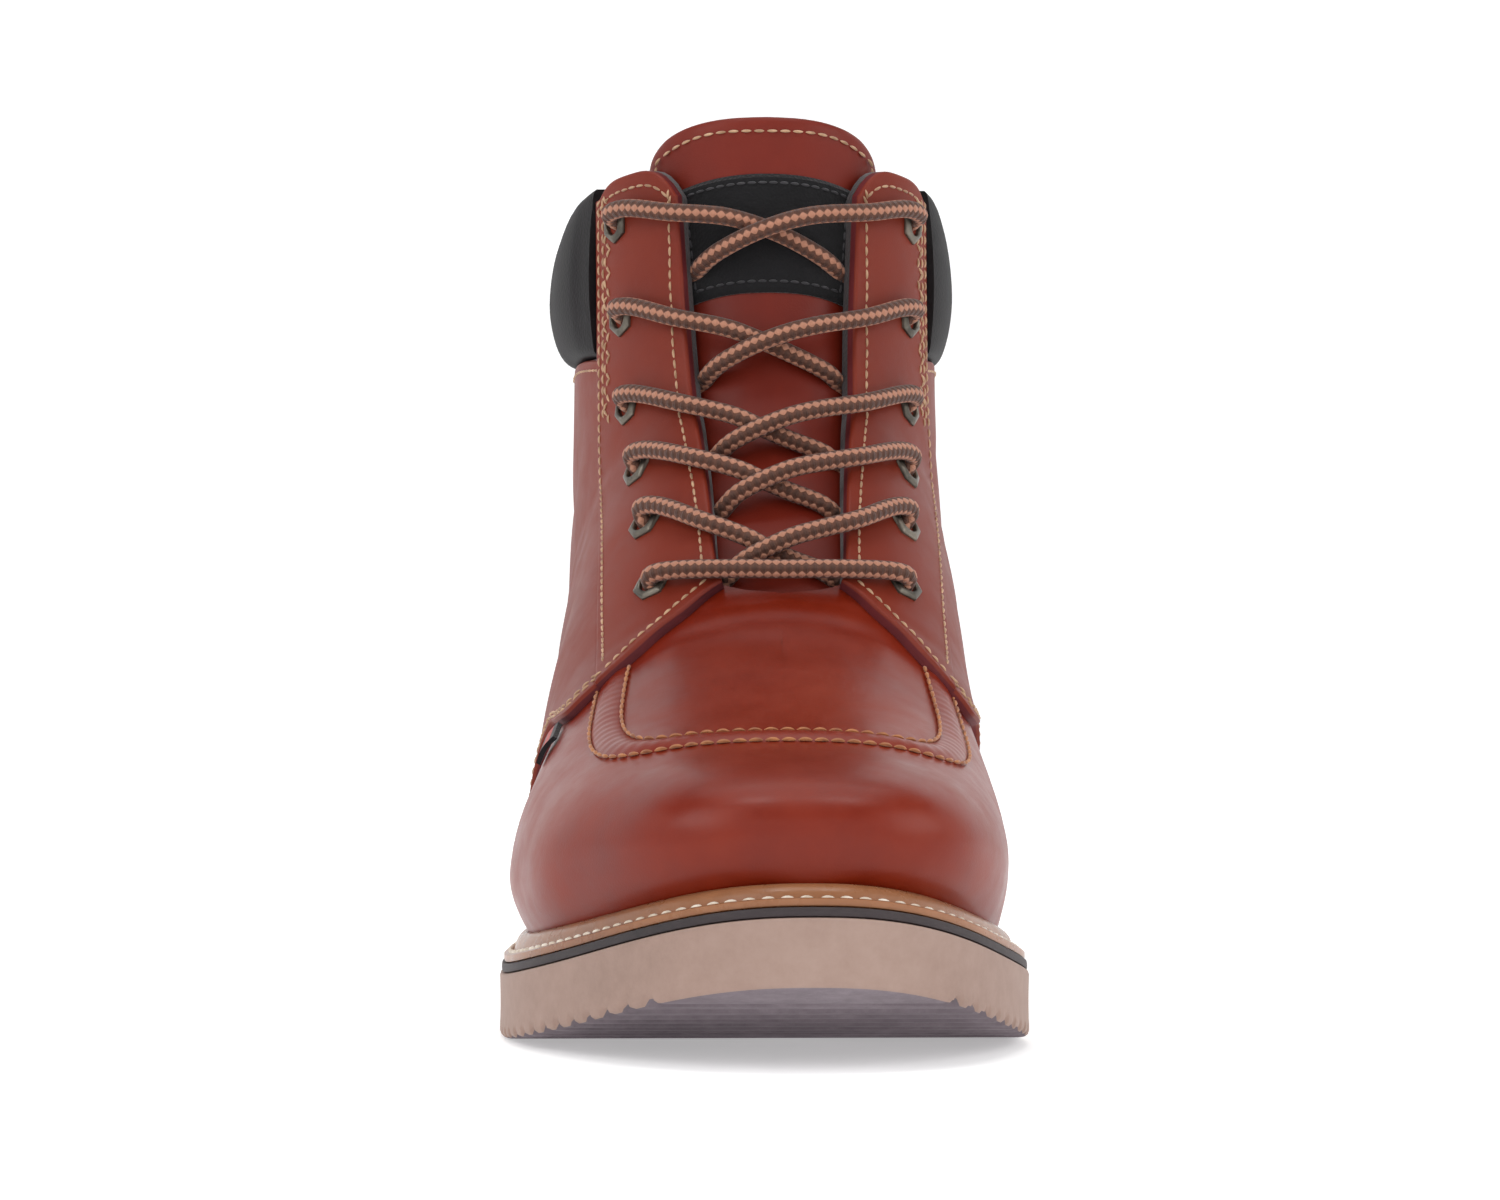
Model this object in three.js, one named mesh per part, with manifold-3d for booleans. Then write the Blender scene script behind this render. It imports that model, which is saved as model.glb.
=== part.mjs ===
// Lace-up work boot with a moc toe and a wedge sole, right foot, in millimetres.
// The toe points along -Y, +X is the inner (medial) side of the foot and +Z is up.
import * as THREE from 'three';
import { mergeVertices } from 'three/addons/utils/BufferGeometryUtils.js';
import Module from 'manifold-3d';

const wasm = await Module();
wasm.setup();

// Driving sizes of the sole.
const outsoleLength = 304;
const ballWidth = 113;
const forefootStack = 21.3;
const heelSeatHeight = 39;
const toeSpring = 17.5;
const heelBevel = 2;
const midsoleThickness = 2.8;
const weltThickness = 3.2;
const midsoleInset = 0.4;
const weltInset = 0.9;
const treadPitch = 11;
const treadGrooveWidth = 3;
const treadGrooveDepth = 1.4;
const treadMargin = 14;

// Driving sizes of the upper and what is sewn to it.
const shaftHeight = 201;
const toeFeatherInset = 9.2;
const heelFeatherInset = 6.5;
const sideFeatherInset = 6.8;
const upperWall = 2.2;
const quarterThickness = 1.8;
const eyestayThickness = 2.2;
const collarBulge = 9;
const collarLining = 5;
const seamRidgeWidth = 8.5;
const seamRidgeHeight = 2;
const insoleThickness = 3.5;
const insoleClearance = 1.5;
const tongueThickness = 5;
const tongueRise = 9.5;
const patchThickness = 1;
const patchWidth = 45;
const patchHeight = 27;
const tagWidth = 9;
const tagThickness = 1.4;

// Driving sizes of the lacing.
const eyeletPairs = 6;
const eyeletPitch = 23.1;
const topEyeletDrop = 11;
const eyeletInset = 13.2;
const eyeletAcross = 9.4;
const eyeletBore = 5;
const eyeletBarrel = 6.2;
const eyeletFlange = 1;
const laceDiameter = 4.3;

// Clearances between pieces, and the steps that curved forms are cut into.
const gap = 0.3;
const featherLift = 0.3;
const overlayLift = 0.65;
const holeClearance = 0.4;
const laceClearance = 0.6;
const laceSides = 6;
const laceDip = 3.2;
const laceTuck = 1.2;

// Sole outline: a row for each section from heel to toe. along is a share of the outsole
// length, centre and half are shares of the ball width. The ends are rounded by soleEnds.
const outlineRows = [
  { along: 0.0, centre: 0.0, half: 0.362 },
  { along: 0.13, centre: -0.004, half: 0.366 },
  { along: 0.25, centre: -0.016, half: 0.354 },
  { along: 0.36, centre: -0.03, half: 0.35 },
  { along: 0.48, centre: -0.035, half: 0.392 },
  { along: 0.58, centre: -0.031, half: 0.452 },
  { along: 0.66, centre: -0.02, half: 0.49 },
  { along: 0.72, centre: -0.008, half: 0.5 },
  { along: 0.8, centre: 0.01, half: 0.488 },
  { along: 0.9, centre: 0.035, half: 0.442 },
  { along: 1.0, centre: 0.06, half: 0.405 },
];
const soleEnds = { heelShare: 0.13, heelPower: 2.2, toeShare: 0.28, toePower: 2.4 };

// The rise of the sole towards the toe and of the wedge towards the heel, in shares.
const springShape = { start: 0.7, power: 1.8 };
const wedgeShape = { full: 0.14, none: 0.66 };

// Upper: a row for each fanned section, from the toe tip to above the collar.
// foot and back place its lower or rear end: foot is the distance from the heel as a share of
// the outsole length, back is the height above the heel seat as a share of the upper's height.
// ridge and rise place its upper or front end in the same two ways. lateral and medial are
// its half widths as shares of the ball width, level is where it is widest, from 0 at the
// lower end to 1 at the upper end, crown is the fullness of its top, wrap tells an open
// bottom (0) from a closed back (1), and lean shifts its ridge towards the medial side.
const sectionColumns = ['foot', 'back', 'ridge', 'rise', 'lateral', 'medial', 'level', 'crown', 'wrap', 'lean'];
const sectionRows = [
  [0.9697, 0.0, 0.9697, 0.0, 0.0, 0.0, 0.5, 2.0, 0.0, 0.055],
  [0.957, 0.0, 0.9757, 0.059, 0.15, 0.155, 0.42, 2.2, 0.0, 0.054],
  [0.9375, 0.0, 0.9737, 0.112, 0.235, 0.24, 0.38, 2.3, 0.0, 0.052],
  [0.908, 0.0, 0.9556, 0.1645, 0.305, 0.312, 0.34, 2.4, 0.0, 0.048],
  [0.868, 0.0, 0.9145, 0.2085, 0.37, 0.372, 0.31, 2.4, 0.0, 0.041],
  [0.816, 0.0, 0.8553, 0.2505, 0.44, 0.42, 0.28, 2.35, 0.0, 0.036],
  [0.757, 0.0, 0.7895, 0.298, 0.475, 0.446, 0.26, 2.3, 0.0, 0.033],
  [0.684, 0.0, 0.7105, 0.3575, 0.49, 0.462, 0.25, 2.2, 0.0, 0.036],
  [0.599, 0.0, 0.6414, 0.408, 0.466, 0.455, 0.28, 2.25, 0.0, 0.04],
  [0.493, 0.0, 0.594, 0.44, 0.436, 0.433, 0.34, 2.25, 0.0, 0.046],
  [0.368, 0.0, 0.562, 0.462, 0.424, 0.421, 0.39, 2.3, 0.0, 0.045],
  [0.23, 0.0, 0.523, 0.505, 0.414, 0.411, 0.44, 2.3, 0.2, 0.044],
  [0.115, 0.0, 0.49, 0.564, 0.406, 0.403, 0.47, 2.3, 0.5, 0.043],
  [0.05, 0.0, 0.4671, 0.617, 0.4, 0.397, 0.48, 2.3, 0.8, 0.042],
  [0.0214, 0.0, 0.4556, 0.652, 0.395, 0.392, 0.48, 2.3, 1.0, 0.041],
  [0.0158, 0.155, 0.4391, 0.72, 0.388, 0.386, 0.48, 2.3, 1.0, 0.038],
  [0.0151, 0.3, 0.4293, 0.787, 0.382, 0.38, 0.49, 2.3, 1.0, 0.036],
  [0.0247, 0.45, 0.4243, 0.845, 0.378, 0.376, 0.5, 2.3, 1.0, 0.035],
  [0.0345, 0.6, 0.4224, 0.9, 0.376, 0.374, 0.5, 2.3, 1.0, 0.034],
  [0.0378, 0.745, 0.4211, 0.951, 0.376, 0.374, 0.5, 2.3, 1.0, 0.033],
  [0.0378, 0.88, 0.4211, 1.0, 0.38, 0.378, 0.5, 2.3, 1.0, 0.032],
  [0.0378, 0.97, 0.4224, 1.04, 0.382, 0.38, 0.5, 2.3, 1.0, 0.031],
  [0.0378, 1.05, 0.426, 1.08, 0.384, 0.382, 0.5, 2.3, 1.0, 0.03],
];
const steadyColumns = new Set(['foot', 'back', 'wrap']);

// Rows of the table that other pieces line up with.
const toeBlendRow = 1.8;
const throatRow = 9;
const heelRow = 14;
const collarRow = 20;
const rearCollarRow = 18.75;
const frontCollarRow = 16.4;
const collarBlendRow = 15.5;
const collarSeam = { girth: 1.35, power: 2.4 };

// Half width of the throat between the eyestays, as shares of the ball width.
const throatRows = [
  { row: 9.0, half: 0.0 },
  { row: 9.12, half: 0.075 },
  { row: 9.4, half: 0.122 },
  { row: 11.0, half: 0.135 },
  { row: 14.0, half: 0.157 },
  { row: 18.0, half: 0.176 },
  { row: 20.0, half: 0.184 },
  { row: 22.0, half: 0.19 },
];
const seamHalf = 0.328;
const seamLimit = 0.93;
const seamDrop = 0.03;

// How far a cutting outline runs past an open edge: in rows or girth, and as a length.
const edgeExcess = 0.08;
const edgeMargin = 0.6;

// Front edge of the quarter under the eyestay, by the girth position of the section.
const quarterFrontRows = [
  { girth: 0.0, row: 9.3 },
  { girth: 0.5, row: 9.0 },
  { girth: 0.9, row: 8.9 },
  { girth: 1.1, row: 8.95 },
  { girth: 1.22, row: 8.8 },
  { girth: 1.32, row: 8.2 },
  { girth: 1.41, row: 7.85 },
  { girth: 1.5, row: 7.87 },
  { girth: 1.6, row: 8.15 },
  { girth: 1.75, row: 8.75 },
  { girth: 1.85, row: 9.2 },
  { girth: 2.0, row: 9.6 },
];

// Course of the moc seam from the front of the toe to under the eyestay: half is the
// distance from the ridge as a share of the ball width.
const mocSeamRows = [
  { row: 5.2, half: 0.0 },
  { row: 5.22, half: 0.09 },
  { row: 5.3, half: 0.18 },
  { row: 5.42, half: 0.265 },
  { row: 5.62, half: 0.312 },
  { row: 5.95, half: 0.332 },
  { row: 6.5, half: 0.336 },
  { row: 7.2, half: 0.33 },
  { row: 7.7, half: 0.324 },
];

// Padded collar: share is the way up the pad, bulge and lining are shares of its swelling.
const collarProfile = [
  { share: 0.02, depth: 0.2, lining: false },
  { share: 0.14, depth: 0.72, lining: false },
  { share: 0.38, depth: 1.0, lining: false },
  { share: 0.64, depth: 0.92, lining: false },
  { share: 0.86, depth: 0.6, lining: false },
  { share: 1.0, depth: 0.1, lining: false },
  { share: 0.98, depth: -0.45, lining: true },
  { share: 0.8, depth: -0.95, lining: true },
  { share: 0.5, depth: -1.0, lining: true },
  { share: 0.2, depth: -0.85, lining: true },
  { share: 0.02, depth: -0.5, lining: true },
];

const finishes = {
  leather: { color: 0x8a3527, roughness: 0.45, metalness: 0 },
  quarterLeather: { color: 0x7d3a30, roughness: 0.5, metalness: 0 },
  lining: { color: 0x1e1a1e, roughness: 0.8, metalness: 0 },
  patch: { color: 0x15171a, roughness: 0.85, metalness: 0 },
  welt: { color: 0x9a6a48, roughness: 0.35, metalness: 0 },
  midsole: { color: 0x3d3237, roughness: 0.7, metalness: 0 },
  outsole: { color: 0xb29a8a, roughness: 0.75, metalness: 0 },
  insole: { color: 0x4a4340, roughness: 0.9, metalness: 0 },
  eyelet: { color: 0x46413c, roughness: 0.4, metalness: 0.8 },
  lace: { color: 0x6b4433, roughness: 0.85, metalness: 0 },
  tag: { color: 0x1c1a1c, roughness: 0.8, metalness: 0 },
};

const clamp = (value, low, high) => Math.min(high, Math.max(low, value));
const mix = (from, to, share) => from + (to - from) * share;
const steps = (from, to, count) => Array.from({ length: count + 1 }, (_, i) => mix(from, to, i / count));

function smoothstep(from, to, value) {
  const share = clamp((value - from) / (to - from), 0, 1);
  return share * share * (3 - 2 * share);
}

// Cubic through the points (keys, values); a steady curve never overshoots them.
function interpolate(keys, values, key, steady = false) {
  const last = keys.length - 1;
  const x = clamp(key, keys[0], keys[last]);
  let i = 0;
  while (i < last - 1 && x > keys[i + 1]) {
    i += 1;
  }
  const slope = (j) => (values[j + 1] - values[j]) / (keys[j + 1] - keys[j]);
  const tangent = (j) => {
    if (j === 0) {
      return slope(0);
    }
    if (j === last) {
      return slope(last - 1);
    }
    const before = slope(j - 1);
    const after = slope(j);
    if (steady) {
      return before * after <= 0 ? 0 : (2 * before * after) / (before + after);
    }
    return (values[j + 1] - values[j - 1]) / (keys[j + 1] - keys[j - 1]);
  };
  const span = keys[i + 1] - keys[i];
  const u = (x - keys[i]) / span;
  const rise = values[i + 1] - values[i];
  const start = tangent(i) * span;
  const end = tangent(i + 1) * span;
  return values[i] + start * u + (3 * rise - 2 * start - end) * u * u + (start + end - 2 * rise) * u * u * u;
}

function fromTable(rows, keyName, valueName, key, steady = false) {
  return interpolate(rows.map((row) => row[keyName]), rows.map((row) => row[valueName]), key, steady);
}

// Heights of the sole's underside and of the seat that the upper stands on.
function groundHeight(along) {
  const spring = clamp((along - springShape.start) / (1 - springShape.start), 0, 1) ** springShape.power;
  const bevel = clamp(1 - along / (0.5 * soleEnds.heelShare), 0, 1) ** 2;
  return toeSpring * spring + heelBevel * bevel;
}

function seatHeight(along) {
  const spring = clamp((along - springShape.start) / (1 - springShape.start), 0, 1) ** springShape.power;
  const wedge = 1 - smoothstep(wedgeShape.full, wedgeShape.none, along);
  return forefootStack + toeSpring * spring + (heelSeatHeight - forefootStack) * wedge;
}

// Plan outline of the sole at a distance forward of the heel, drawn in by the given insets.
function outline(forward, insets) {
  const length = outsoleLength - insets.heel - insets.toe;
  const share = clamp((forward - insets.heel) / length, 0, 1);
  const { heelShare, heelPower, toeShare, toePower } = soleEnds;
  const intoHeel = clamp((heelShare - share) / heelShare, 0, 1);
  const intoToe = clamp((share - 1 + toeShare) / toeShare, 0, 1);
  const rounding = (1 - intoHeel ** heelPower) ** (1 / heelPower) * (1 - intoToe ** toePower) ** (1 / toePower);
  const along = forward / outsoleLength;
  return {
    centre: fromTable(outlineRows, 'along', 'centre', along) * ballWidth,
    half: (fromTable(outlineRows, 'along', 'half', along) * ballWidth - insets.side) * rounding,
  };
}

const evenInset = (inset) => ({ heel: inset, toe: inset, side: inset });
const featherInsets = { heel: heelFeatherInset, toe: toeFeatherInset, side: sideFeatherInset };
const deeperThanFeather = (inset) => ({
  heel: heelFeatherInset + inset,
  toe: toeFeatherInset + inset,
  side: sideFeatherInset + inset,
});

// The boot is centred on the box of its outsole.
const outlineEdges = steps(0, outsoleLength, 200).map((forward) => outline(forward, evenInset(0)));
const lateralReach = Math.min(...outlineEdges.map(({ centre, half }) => centre - half));
const medialReach = Math.max(...outlineEdges.map(({ centre, half }) => centre + half));
const middle = (lateralReach + medialReach) / 2;

function place(across, forward, height) {
  return new THREE.Vector3(across - middle, outsoleLength / 2 - forward, height);
}

// One section of the upper, with its table columns turned into lengths.
const rowNumbers = sectionRows.map((_, i) => i);
const columnValues = Object.fromEntries(
  sectionColumns.map((name, i) => [name, sectionRows.map((row) => row[i])]),
);

function sectionAt(row) {
  const value = (name) => interpolate(rowNumbers, columnValues[name], row, steadyColumns.has(name));
  const upperHeight = shaftHeight - heelSeatHeight;
  const foot = value('foot') * outsoleLength;
  const ridge = value('ridge') * outsoleLength;
  const seat = seatHeight(value('foot')) + featherLift;
  const plan = outline(foot, featherInsets);
  return {
    foot,
    footHeight: seat + value('back') * upperHeight,
    footHalf: row > 0 && row < heelRow ? plan.half : 0,
    footCentre: plan.centre,
    ridge,
    ridgeHeight: seat + value('rise') * upperHeight,
    ridgeCentre: row > 0 ? value('lean') * ballWidth : plan.centre,
    lateral: value('lateral') * ballWidth,
    medial: value('medial') * ballWidth,
    level: value('level'),
    crown: value('crown'),
    wrap: value('wrap'),
  };
}

const sectionCache = new Map();
function section(row) {
  const key = row.toFixed(5);
  if (!sectionCache.has(key)) {
    sectionCache.set(key, sectionAt(row));
  }
  return sectionCache.get(key);
}

// Point of the upper's outside. side is -1 for lateral and 1 for medial; girth runs from 0 at
// the lower or rear end of the section through 1 at its widest to 2 at its ridge.
function surfacePoint(side, row, girth) {
  const s = section(row);
  const widest = side < 0 ? s.lateral : s.medial;
  let share;
  let half;
  if (girth <= 1) {
    const turn = (Math.PI / 2) * girth;
    share = s.level * mix(girth, 1 - Math.cos(turn), s.wrap);
    half = s.footHalf + (widest - s.footHalf) * Math.max(Math.sin(turn), 0) ** mix(1, 2 / s.crown, s.wrap);
  } else {
    const turn = (Math.PI / 2) * Math.min(girth - 1, 1);
    share = s.level + (1 - s.level) * Math.sin(turn) ** (2 / s.crown);
    half = widest * Math.max(Math.cos(turn), 0) ** (2 / s.crown);
  }
  const centre = mix(s.footCentre, s.ridgeCentre, share);
  return place(centre + side * half, mix(s.foot, s.ridge, share), mix(s.footHeight, s.ridgeHeight, share));
}

function sideNormal(side, row, girth) {
  const rowStep = 0.04;
  const girthStep = 0.02;
  const lastRow = sectionRows.length - 1;
  const alongRow = surfacePoint(side, Math.min(row + rowStep, lastRow), girth)
    .sub(surfacePoint(side, Math.max(row - rowStep, 0), girth));
  const alongGirth = surfacePoint(side, row, Math.min(girth + girthStep, 2))
    .sub(surfacePoint(side, row, Math.max(girth - girthStep, 0)));
  const normal = alongRow.cross(alongGirth).multiplyScalar(side);
  if (girth < 1 && row < heelRow + 2) {
    normal.z = Math.max(normal.z, 0) * clamp(girth / 0.3, 0, 1);
  }
  return normal.normalize();
}

// Outward direction; on the ridge and the back seam both sides share one, and towards the
// toe tip all turn forward.
function surfaceNormal(side, row, girth) {
  const onRidge = girth > 2 - 1e-6;
  const onBackSeam = girth < 1e-6 && row >= heelRow;
  const forward = new THREE.Vector3(0, -1, 0);
  if (row < 1e-6) {
    return forward;
  }
  const normal = sideNormal(side, row, girth);
  if (onRidge || onBackSeam) {
    normal.add(sideNormal(-side, row, girth)).normalize();
  }
  return normal.lerp(forward, clamp(1 - row / toeBlendRow, 0, 1)).normalize();
}

function offsetPoint(side, row, girth, offset) {
  return surfacePoint(side, row, girth).addScaledVector(surfaceNormal(side, row, girth), offset);
}

// Girth position at a distance from the ridge line, and what a length is in rows or girth.
function girthAt(side, row, half) {
  const s = section(row);
  const widest = side < 0 ? s.lateral : s.medial;
  const share = clamp(half / Math.max(widest, 1e-6), 0, 1);
  return 1 + Math.acos(share ** (s.crown / 2)) / (Math.PI / 2);
}

function rowsFor(length, side, row, girth) {
  const probe = 0.05;
  const from = surfacePoint(side, row - probe, girth);
  return (length * 2 * probe) / from.distanceTo(surfacePoint(side, row + probe, girth));
}

function girthFor(length, side, row, girth) {
  const probe = 0.02;
  const from = surfacePoint(side, row, girth - probe);
  return (length * 2 * probe) / from.distanceTo(surfacePoint(side, row, girth + probe));
}

function throatGirth(side, row) {
  if (row <= throatRow) {
    return 2;
  }
  return girthAt(side, row, fromTable(throatRows, 'row', 'half', row, true) * ballWidth);
}

function eyestaySeamGirth(side, row) {
  const s = section(row);
  const widest = side < 0 ? s.lateral : s.medial;
  return girthAt(side, row, Math.min(seamHalf * ballWidth, seamLimit * widest));
}

// Lower line of the padded collar and the rounded top of the eyestay, as rows.
function collarLine(girth) {
  return mix(rearCollarRow, frontCollarRow, clamp(girth / collarSeam.girth, 0, 1) ** collarSeam.power);
}

function eyestayTop(side, girth) {
  const outer = eyestaySeamGirth(side, collarRow);
  const inner = throatGirth(side, collarRow);
  const share = clamp((girth - outer) / (inner - outer), 0, 1);
  const innerCorner = 0.9 * clamp((share - 0.5) / 0.5, 0, 1) ** 3;
  const outerCorner = 0.3 * clamp((0.4 - share) / 0.4, 0, 1) ** 3;
  return collarRow - innerCorner - outerCorner;
}

function geometryOf(points, triangles) {
  const geometry = new THREE.BufferGeometry();
  geometry.setAttribute('position', new THREE.Float32BufferAttribute(points.flatMap((p) => [p.x, p.y, p.z]), 3));
  geometry.setIndex(triangles.flat());
  return geometry;
}

// Closed solid from a sheet of points: outer and inner skins with a rim along each open edge.
function shell(outer, inner, columnsTouch = () => true) {
  const rows = outer.length;
  const columns = outer[0].length;
  const welded = new Map();
  const outerPoints = [];
  const innerPoints = [];
  const index = outer.map((line, i) => line.map((point, j) => {
    const key = [point.x, point.y, point.z].map((value) => Math.round(value * 500)).join();
    if (!welded.has(key)) {
      welded.set(key, outerPoints.length);
      outerPoints.push(point);
      innerPoints.push(inner[i][j]);
    }
    return welded.get(key);
  }));
  const skin = [];
  const addTriangle = (a, b, c) => {
    if (a !== b && b !== c && c !== a) {
      skin.push([a, b, c]);
    }
  };
  for (let i = 0; i < rows - 1; i += 1) {
    for (let j = 0; j < columns - 1; j += 1) {
      if (columnsTouch(j)) {
        addTriangle(index[i][j], index[i][j + 1], index[i + 1][j + 1]);
        addTriangle(index[i][j], index[i + 1][j + 1], index[i + 1][j]);
      }
    }
  }
  const edges = new Map();
  for (const [a, b, c] of skin) {
    for (const [from, to] of [[a, b], [b, c], [c, a]]) {
      edges.set(`${from},${to}`, [from, to]);
    }
  }
  const offset = outerPoints.length;
  const triangles = skin.flatMap(([a, b, c]) => [[a, b, c], [a + offset, c + offset, b + offset]]);
  for (const [from, to] of edges.values()) {
    if (!edges.has(`${to},${from}`)) {
      triangles.push([from, from + offset, to + offset], [from, to + offset, to]);
    }
  }
  return outward(geometryOf([...outerPoints, ...innerPoints], triangles));
}

// Closed solid from a row of rings, each a closed loop of points; ends capped unless joined.
function loft(rings, joined = false) {
  const size = rings[0].length;
  const triangles = [];
  const count = rings.length;
  for (let i = 0; i < (joined ? count : count - 1); i += 1) {
    const next = (i + 1) % count;
    for (let j = 0; j < size; j += 1) {
      const k = (j + 1) % size;
      triangles.push([i * size + j, i * size + k, next * size + k]);
      triangles.push([i * size + j, next * size + k, next * size + j]);
    }
  }
  const points = rings.flat();
  if (!joined) {
    for (const [ring, first] of [[rings[0], 0], [rings[count - 1], (count - 1) * size]]) {
      const centre = ring.reduce((sum, point) => sum.add(point), new THREE.Vector3()).divideScalar(size);
      const hub = points.push(centre) - 1;
      for (let j = 0; j < size; j += 1) {
        const k = (j + 1) % size;
        triangles.push(first === 0 ? [hub, first + k, first + j] : [hub, first + j, first + k]);
      }
    }
  }
  return outward(geometryOf(points, triangles));
}

// Turns a closed mesh the right way out.
function outward(geometry) {
  const position = geometry.getAttribute('position');
  const index = geometry.getIndex();
  const [a, b, c] = [new THREE.Vector3(), new THREE.Vector3(), new THREE.Vector3()];
  let volume = 0;
  for (let i = 0; i < index.count; i += 3) {
    a.fromBufferAttribute(position, index.getX(i));
    b.fromBufferAttribute(position, index.getX(i + 1));
    c.fromBufferAttribute(position, index.getX(i + 2));
    volume += a.dot(b.cross(c));
  }
  if (volume < 0) {
    for (let i = 0; i < index.count; i += 3) {
      const second = index.getX(i + 1);
      index.setX(i + 1, index.getX(i + 2));
      index.setX(i + 2, second);
    }
  }
  return geometry;
}

// Boolean work on closed meshes.
function solid(geometry) {
  const bare = geometry.clone();
  bare.deleteAttribute('normal');
  bare.deleteAttribute('uv');
  const merged = mergeVertices(bare, 1e-4);
  return new wasm.Manifold(new wasm.Mesh({
    numProp: 3,
    vertProperties: new Float32Array(merged.getAttribute('position').array),
    triVerts: new Uint32Array(merged.getIndex().array),
  }));
}

function fromSolid(body) {
  const mesh = body.getMesh();
  const geometry = new THREE.BufferGeometry();
  geometry.setAttribute('position', new THREE.Float32BufferAttribute(mesh.vertProperties, 3));
  geometry.setIndex(Array.from(mesh.triVerts));
  return geometry;
}

const cut = (geometry, tools) => fromSolid(tools.reduce((body, tool) => body.subtract(solid(tool)), solid(geometry)));
const join = (pieces) => fromSolid(pieces.slice(1).reduce((body, piece) => body.add(solid(piece)), solid(pieces[0])));

// Stations along the sole, closer together where its ends are round.
function soleStations(insets, count) {
  return steps(0, Math.PI, count).map((turn) => {
    const share = (1 - Math.cos(turn)) / 2;
    return mix(insets.heel, outsoleLength - insets.toe, share);
  });
}

// One layer of the sole: a plate between two heights that follow the sole's profile.
function soleLayer(insets, count, bottomHeight, topHeight) {
  const stations = soleStations(insets, count);
  const across = [-1, -0.5, 0, 0.5, 1];
  const sheet = (height) => stations.map((forward) => {
    const { centre, half } = outline(forward, insets);
    return across.map((share) => place(centre + share * half, forward, height(forward / outsoleLength)));
  });
  return shell(sheet(topHeight), sheet(bottomHeight));
}

const weltTop = (along) => seatHeight(along) - gap;
const weltBottom = (along) => weltTop(along) - weltThickness;
const midsoleTop = (along) => weltBottom(along) - gap;
const midsoleBottom = (along) => midsoleTop(along) - midsoleThickness;
const outsoleTop = (along) => midsoleBottom(along) - gap;

// Grooves across the tread, each turned to the slope of the underside.
function treadGrooves() {
  const count = Math.floor((outsoleLength - 2 * treadMargin) / treadPitch);
  return steps(treadMargin, treadMargin + count * treadPitch, count).map((forward) => {
    const along = forward / outsoleLength;
    const probe = 0.5 * treadGrooveWidth;
    const rise = groundHeight((forward + probe) / outsoleLength) - groundHeight((forward - probe) / outsoleLength);
    const box = new THREE.BoxGeometry(2 * ballWidth, treadGrooveWidth, 2 * treadGrooveDepth);
    box.rotateX(-Math.atan2(rise, 2 * probe));
    const centre = place(0, forward, groundHeight(along));
    return box.translate(centre.x, centre.y, centre.z);
  });
}

function outsoleGeometry() {
  return cut(soleLayer(evenInset(0), 38, groundHeight, outsoleTop), treadGrooves());
}

// The welt is a ring: its inner edge stops at the insole.
function weltGeometry() {
  const inner = deeperThanFeather(upperWall + insoleClearance - gap);
  const count = 32;
  const loop = (insets, height) => {
    const stations = soleStations(insets, count);
    const edge = (side) => stations.map((forward) => {
      const { centre, half } = outline(forward, insets);
      return place(centre + side * half, forward, height(forward / outsoleLength));
    });
    return [...edge(-1), ...edge(1).slice(1, -1).reverse()];
  };
  const loops = [
    loop(evenInset(weltInset), weltTop),
    loop(inner, weltTop),
    loop(inner, weltBottom),
    loop(evenInset(weltInset), weltBottom),
  ];
  return loft(loops, true);
}

function insoleGeometry() {
  const insets = deeperThanFeather(upperWall + insoleClearance);
  return soleLayer(insets, 22, (along) => midsoleTop(along) + gap, (along) => seatHeight(along) + insoleThickness);
}

// Girth stations of one side: from its lower end to the eyestay seam and on to the throat.
const rearShares = [0, 0.2, 0.42, 0.64, 0.84, 1];
const frontShares = [0, 0.28, 0.6, 1];

function upperGirths(side, row) {
  const seam = eyestaySeamGirth(side, row);
  const throat = throatGirth(side, row);
  const rear = rearShares.map((share) => share * (seam - seamDrop));
  return [...rear, ...frontShares.map((share) => mix(seam, throat, share))];
}

const upperRows = [0, 0.6, 1.1, 1.7, 2.5, 3.3, 4.1, 4.9, 5.7, 6.5, 7.3, 8.1, 9, 9.12, 9.4, 10.1,
  10.8, 11.4, 12, 12.8, 13.5, 14, 14.8, 15.7, 16.6, 17.5, 18.4, 19.2, 20];

// Rows above the blend are drawn down to the rounded top edge.
function upperRow(row, limit) {
  if (row <= collarBlendRow) {
    return row;
  }
  return mix(collarBlendRow, limit, (row - collarBlendRow) / (collarRow - collarBlendRow));
}

// Skin of one side of the upper at an offset from its outside, a line of points for each row.
function upperSkin(side, offset) {
  return upperRows.map((row) => upperGirths(side, row).map((girth, j) => {
    const placed = upperRow(row, eyestayTop(side, girth));
    const shifted = row > throatRow ? upperGirths(side, placed)[j] : girth;
    return offsetPoint(side, placed, shifted, offset);
  }));
}

function upperGeometry() {
  const columnCount = rearShares.length + frontShares.length;
  const sheet = (offset) => {
    const [lateral, medial] = [upperSkin(-1, offset), upperSkin(1, offset)];
    return lateral.map((line, i) => [...line.slice().reverse(), ...medial[i]]);
  };
  const body = shell(sheet(0), sheet(-upperWall), (column) => column !== columnCount - 1);
  return cut(body, [collarBlock(), ...drills]);
}

// Block that clears the upper's wall for the padded collar, from seam to seam round the back.
const collarShares = [1, 0.86, 0.7, 0.54, 0.4, 0.26, 0.12];

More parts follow.
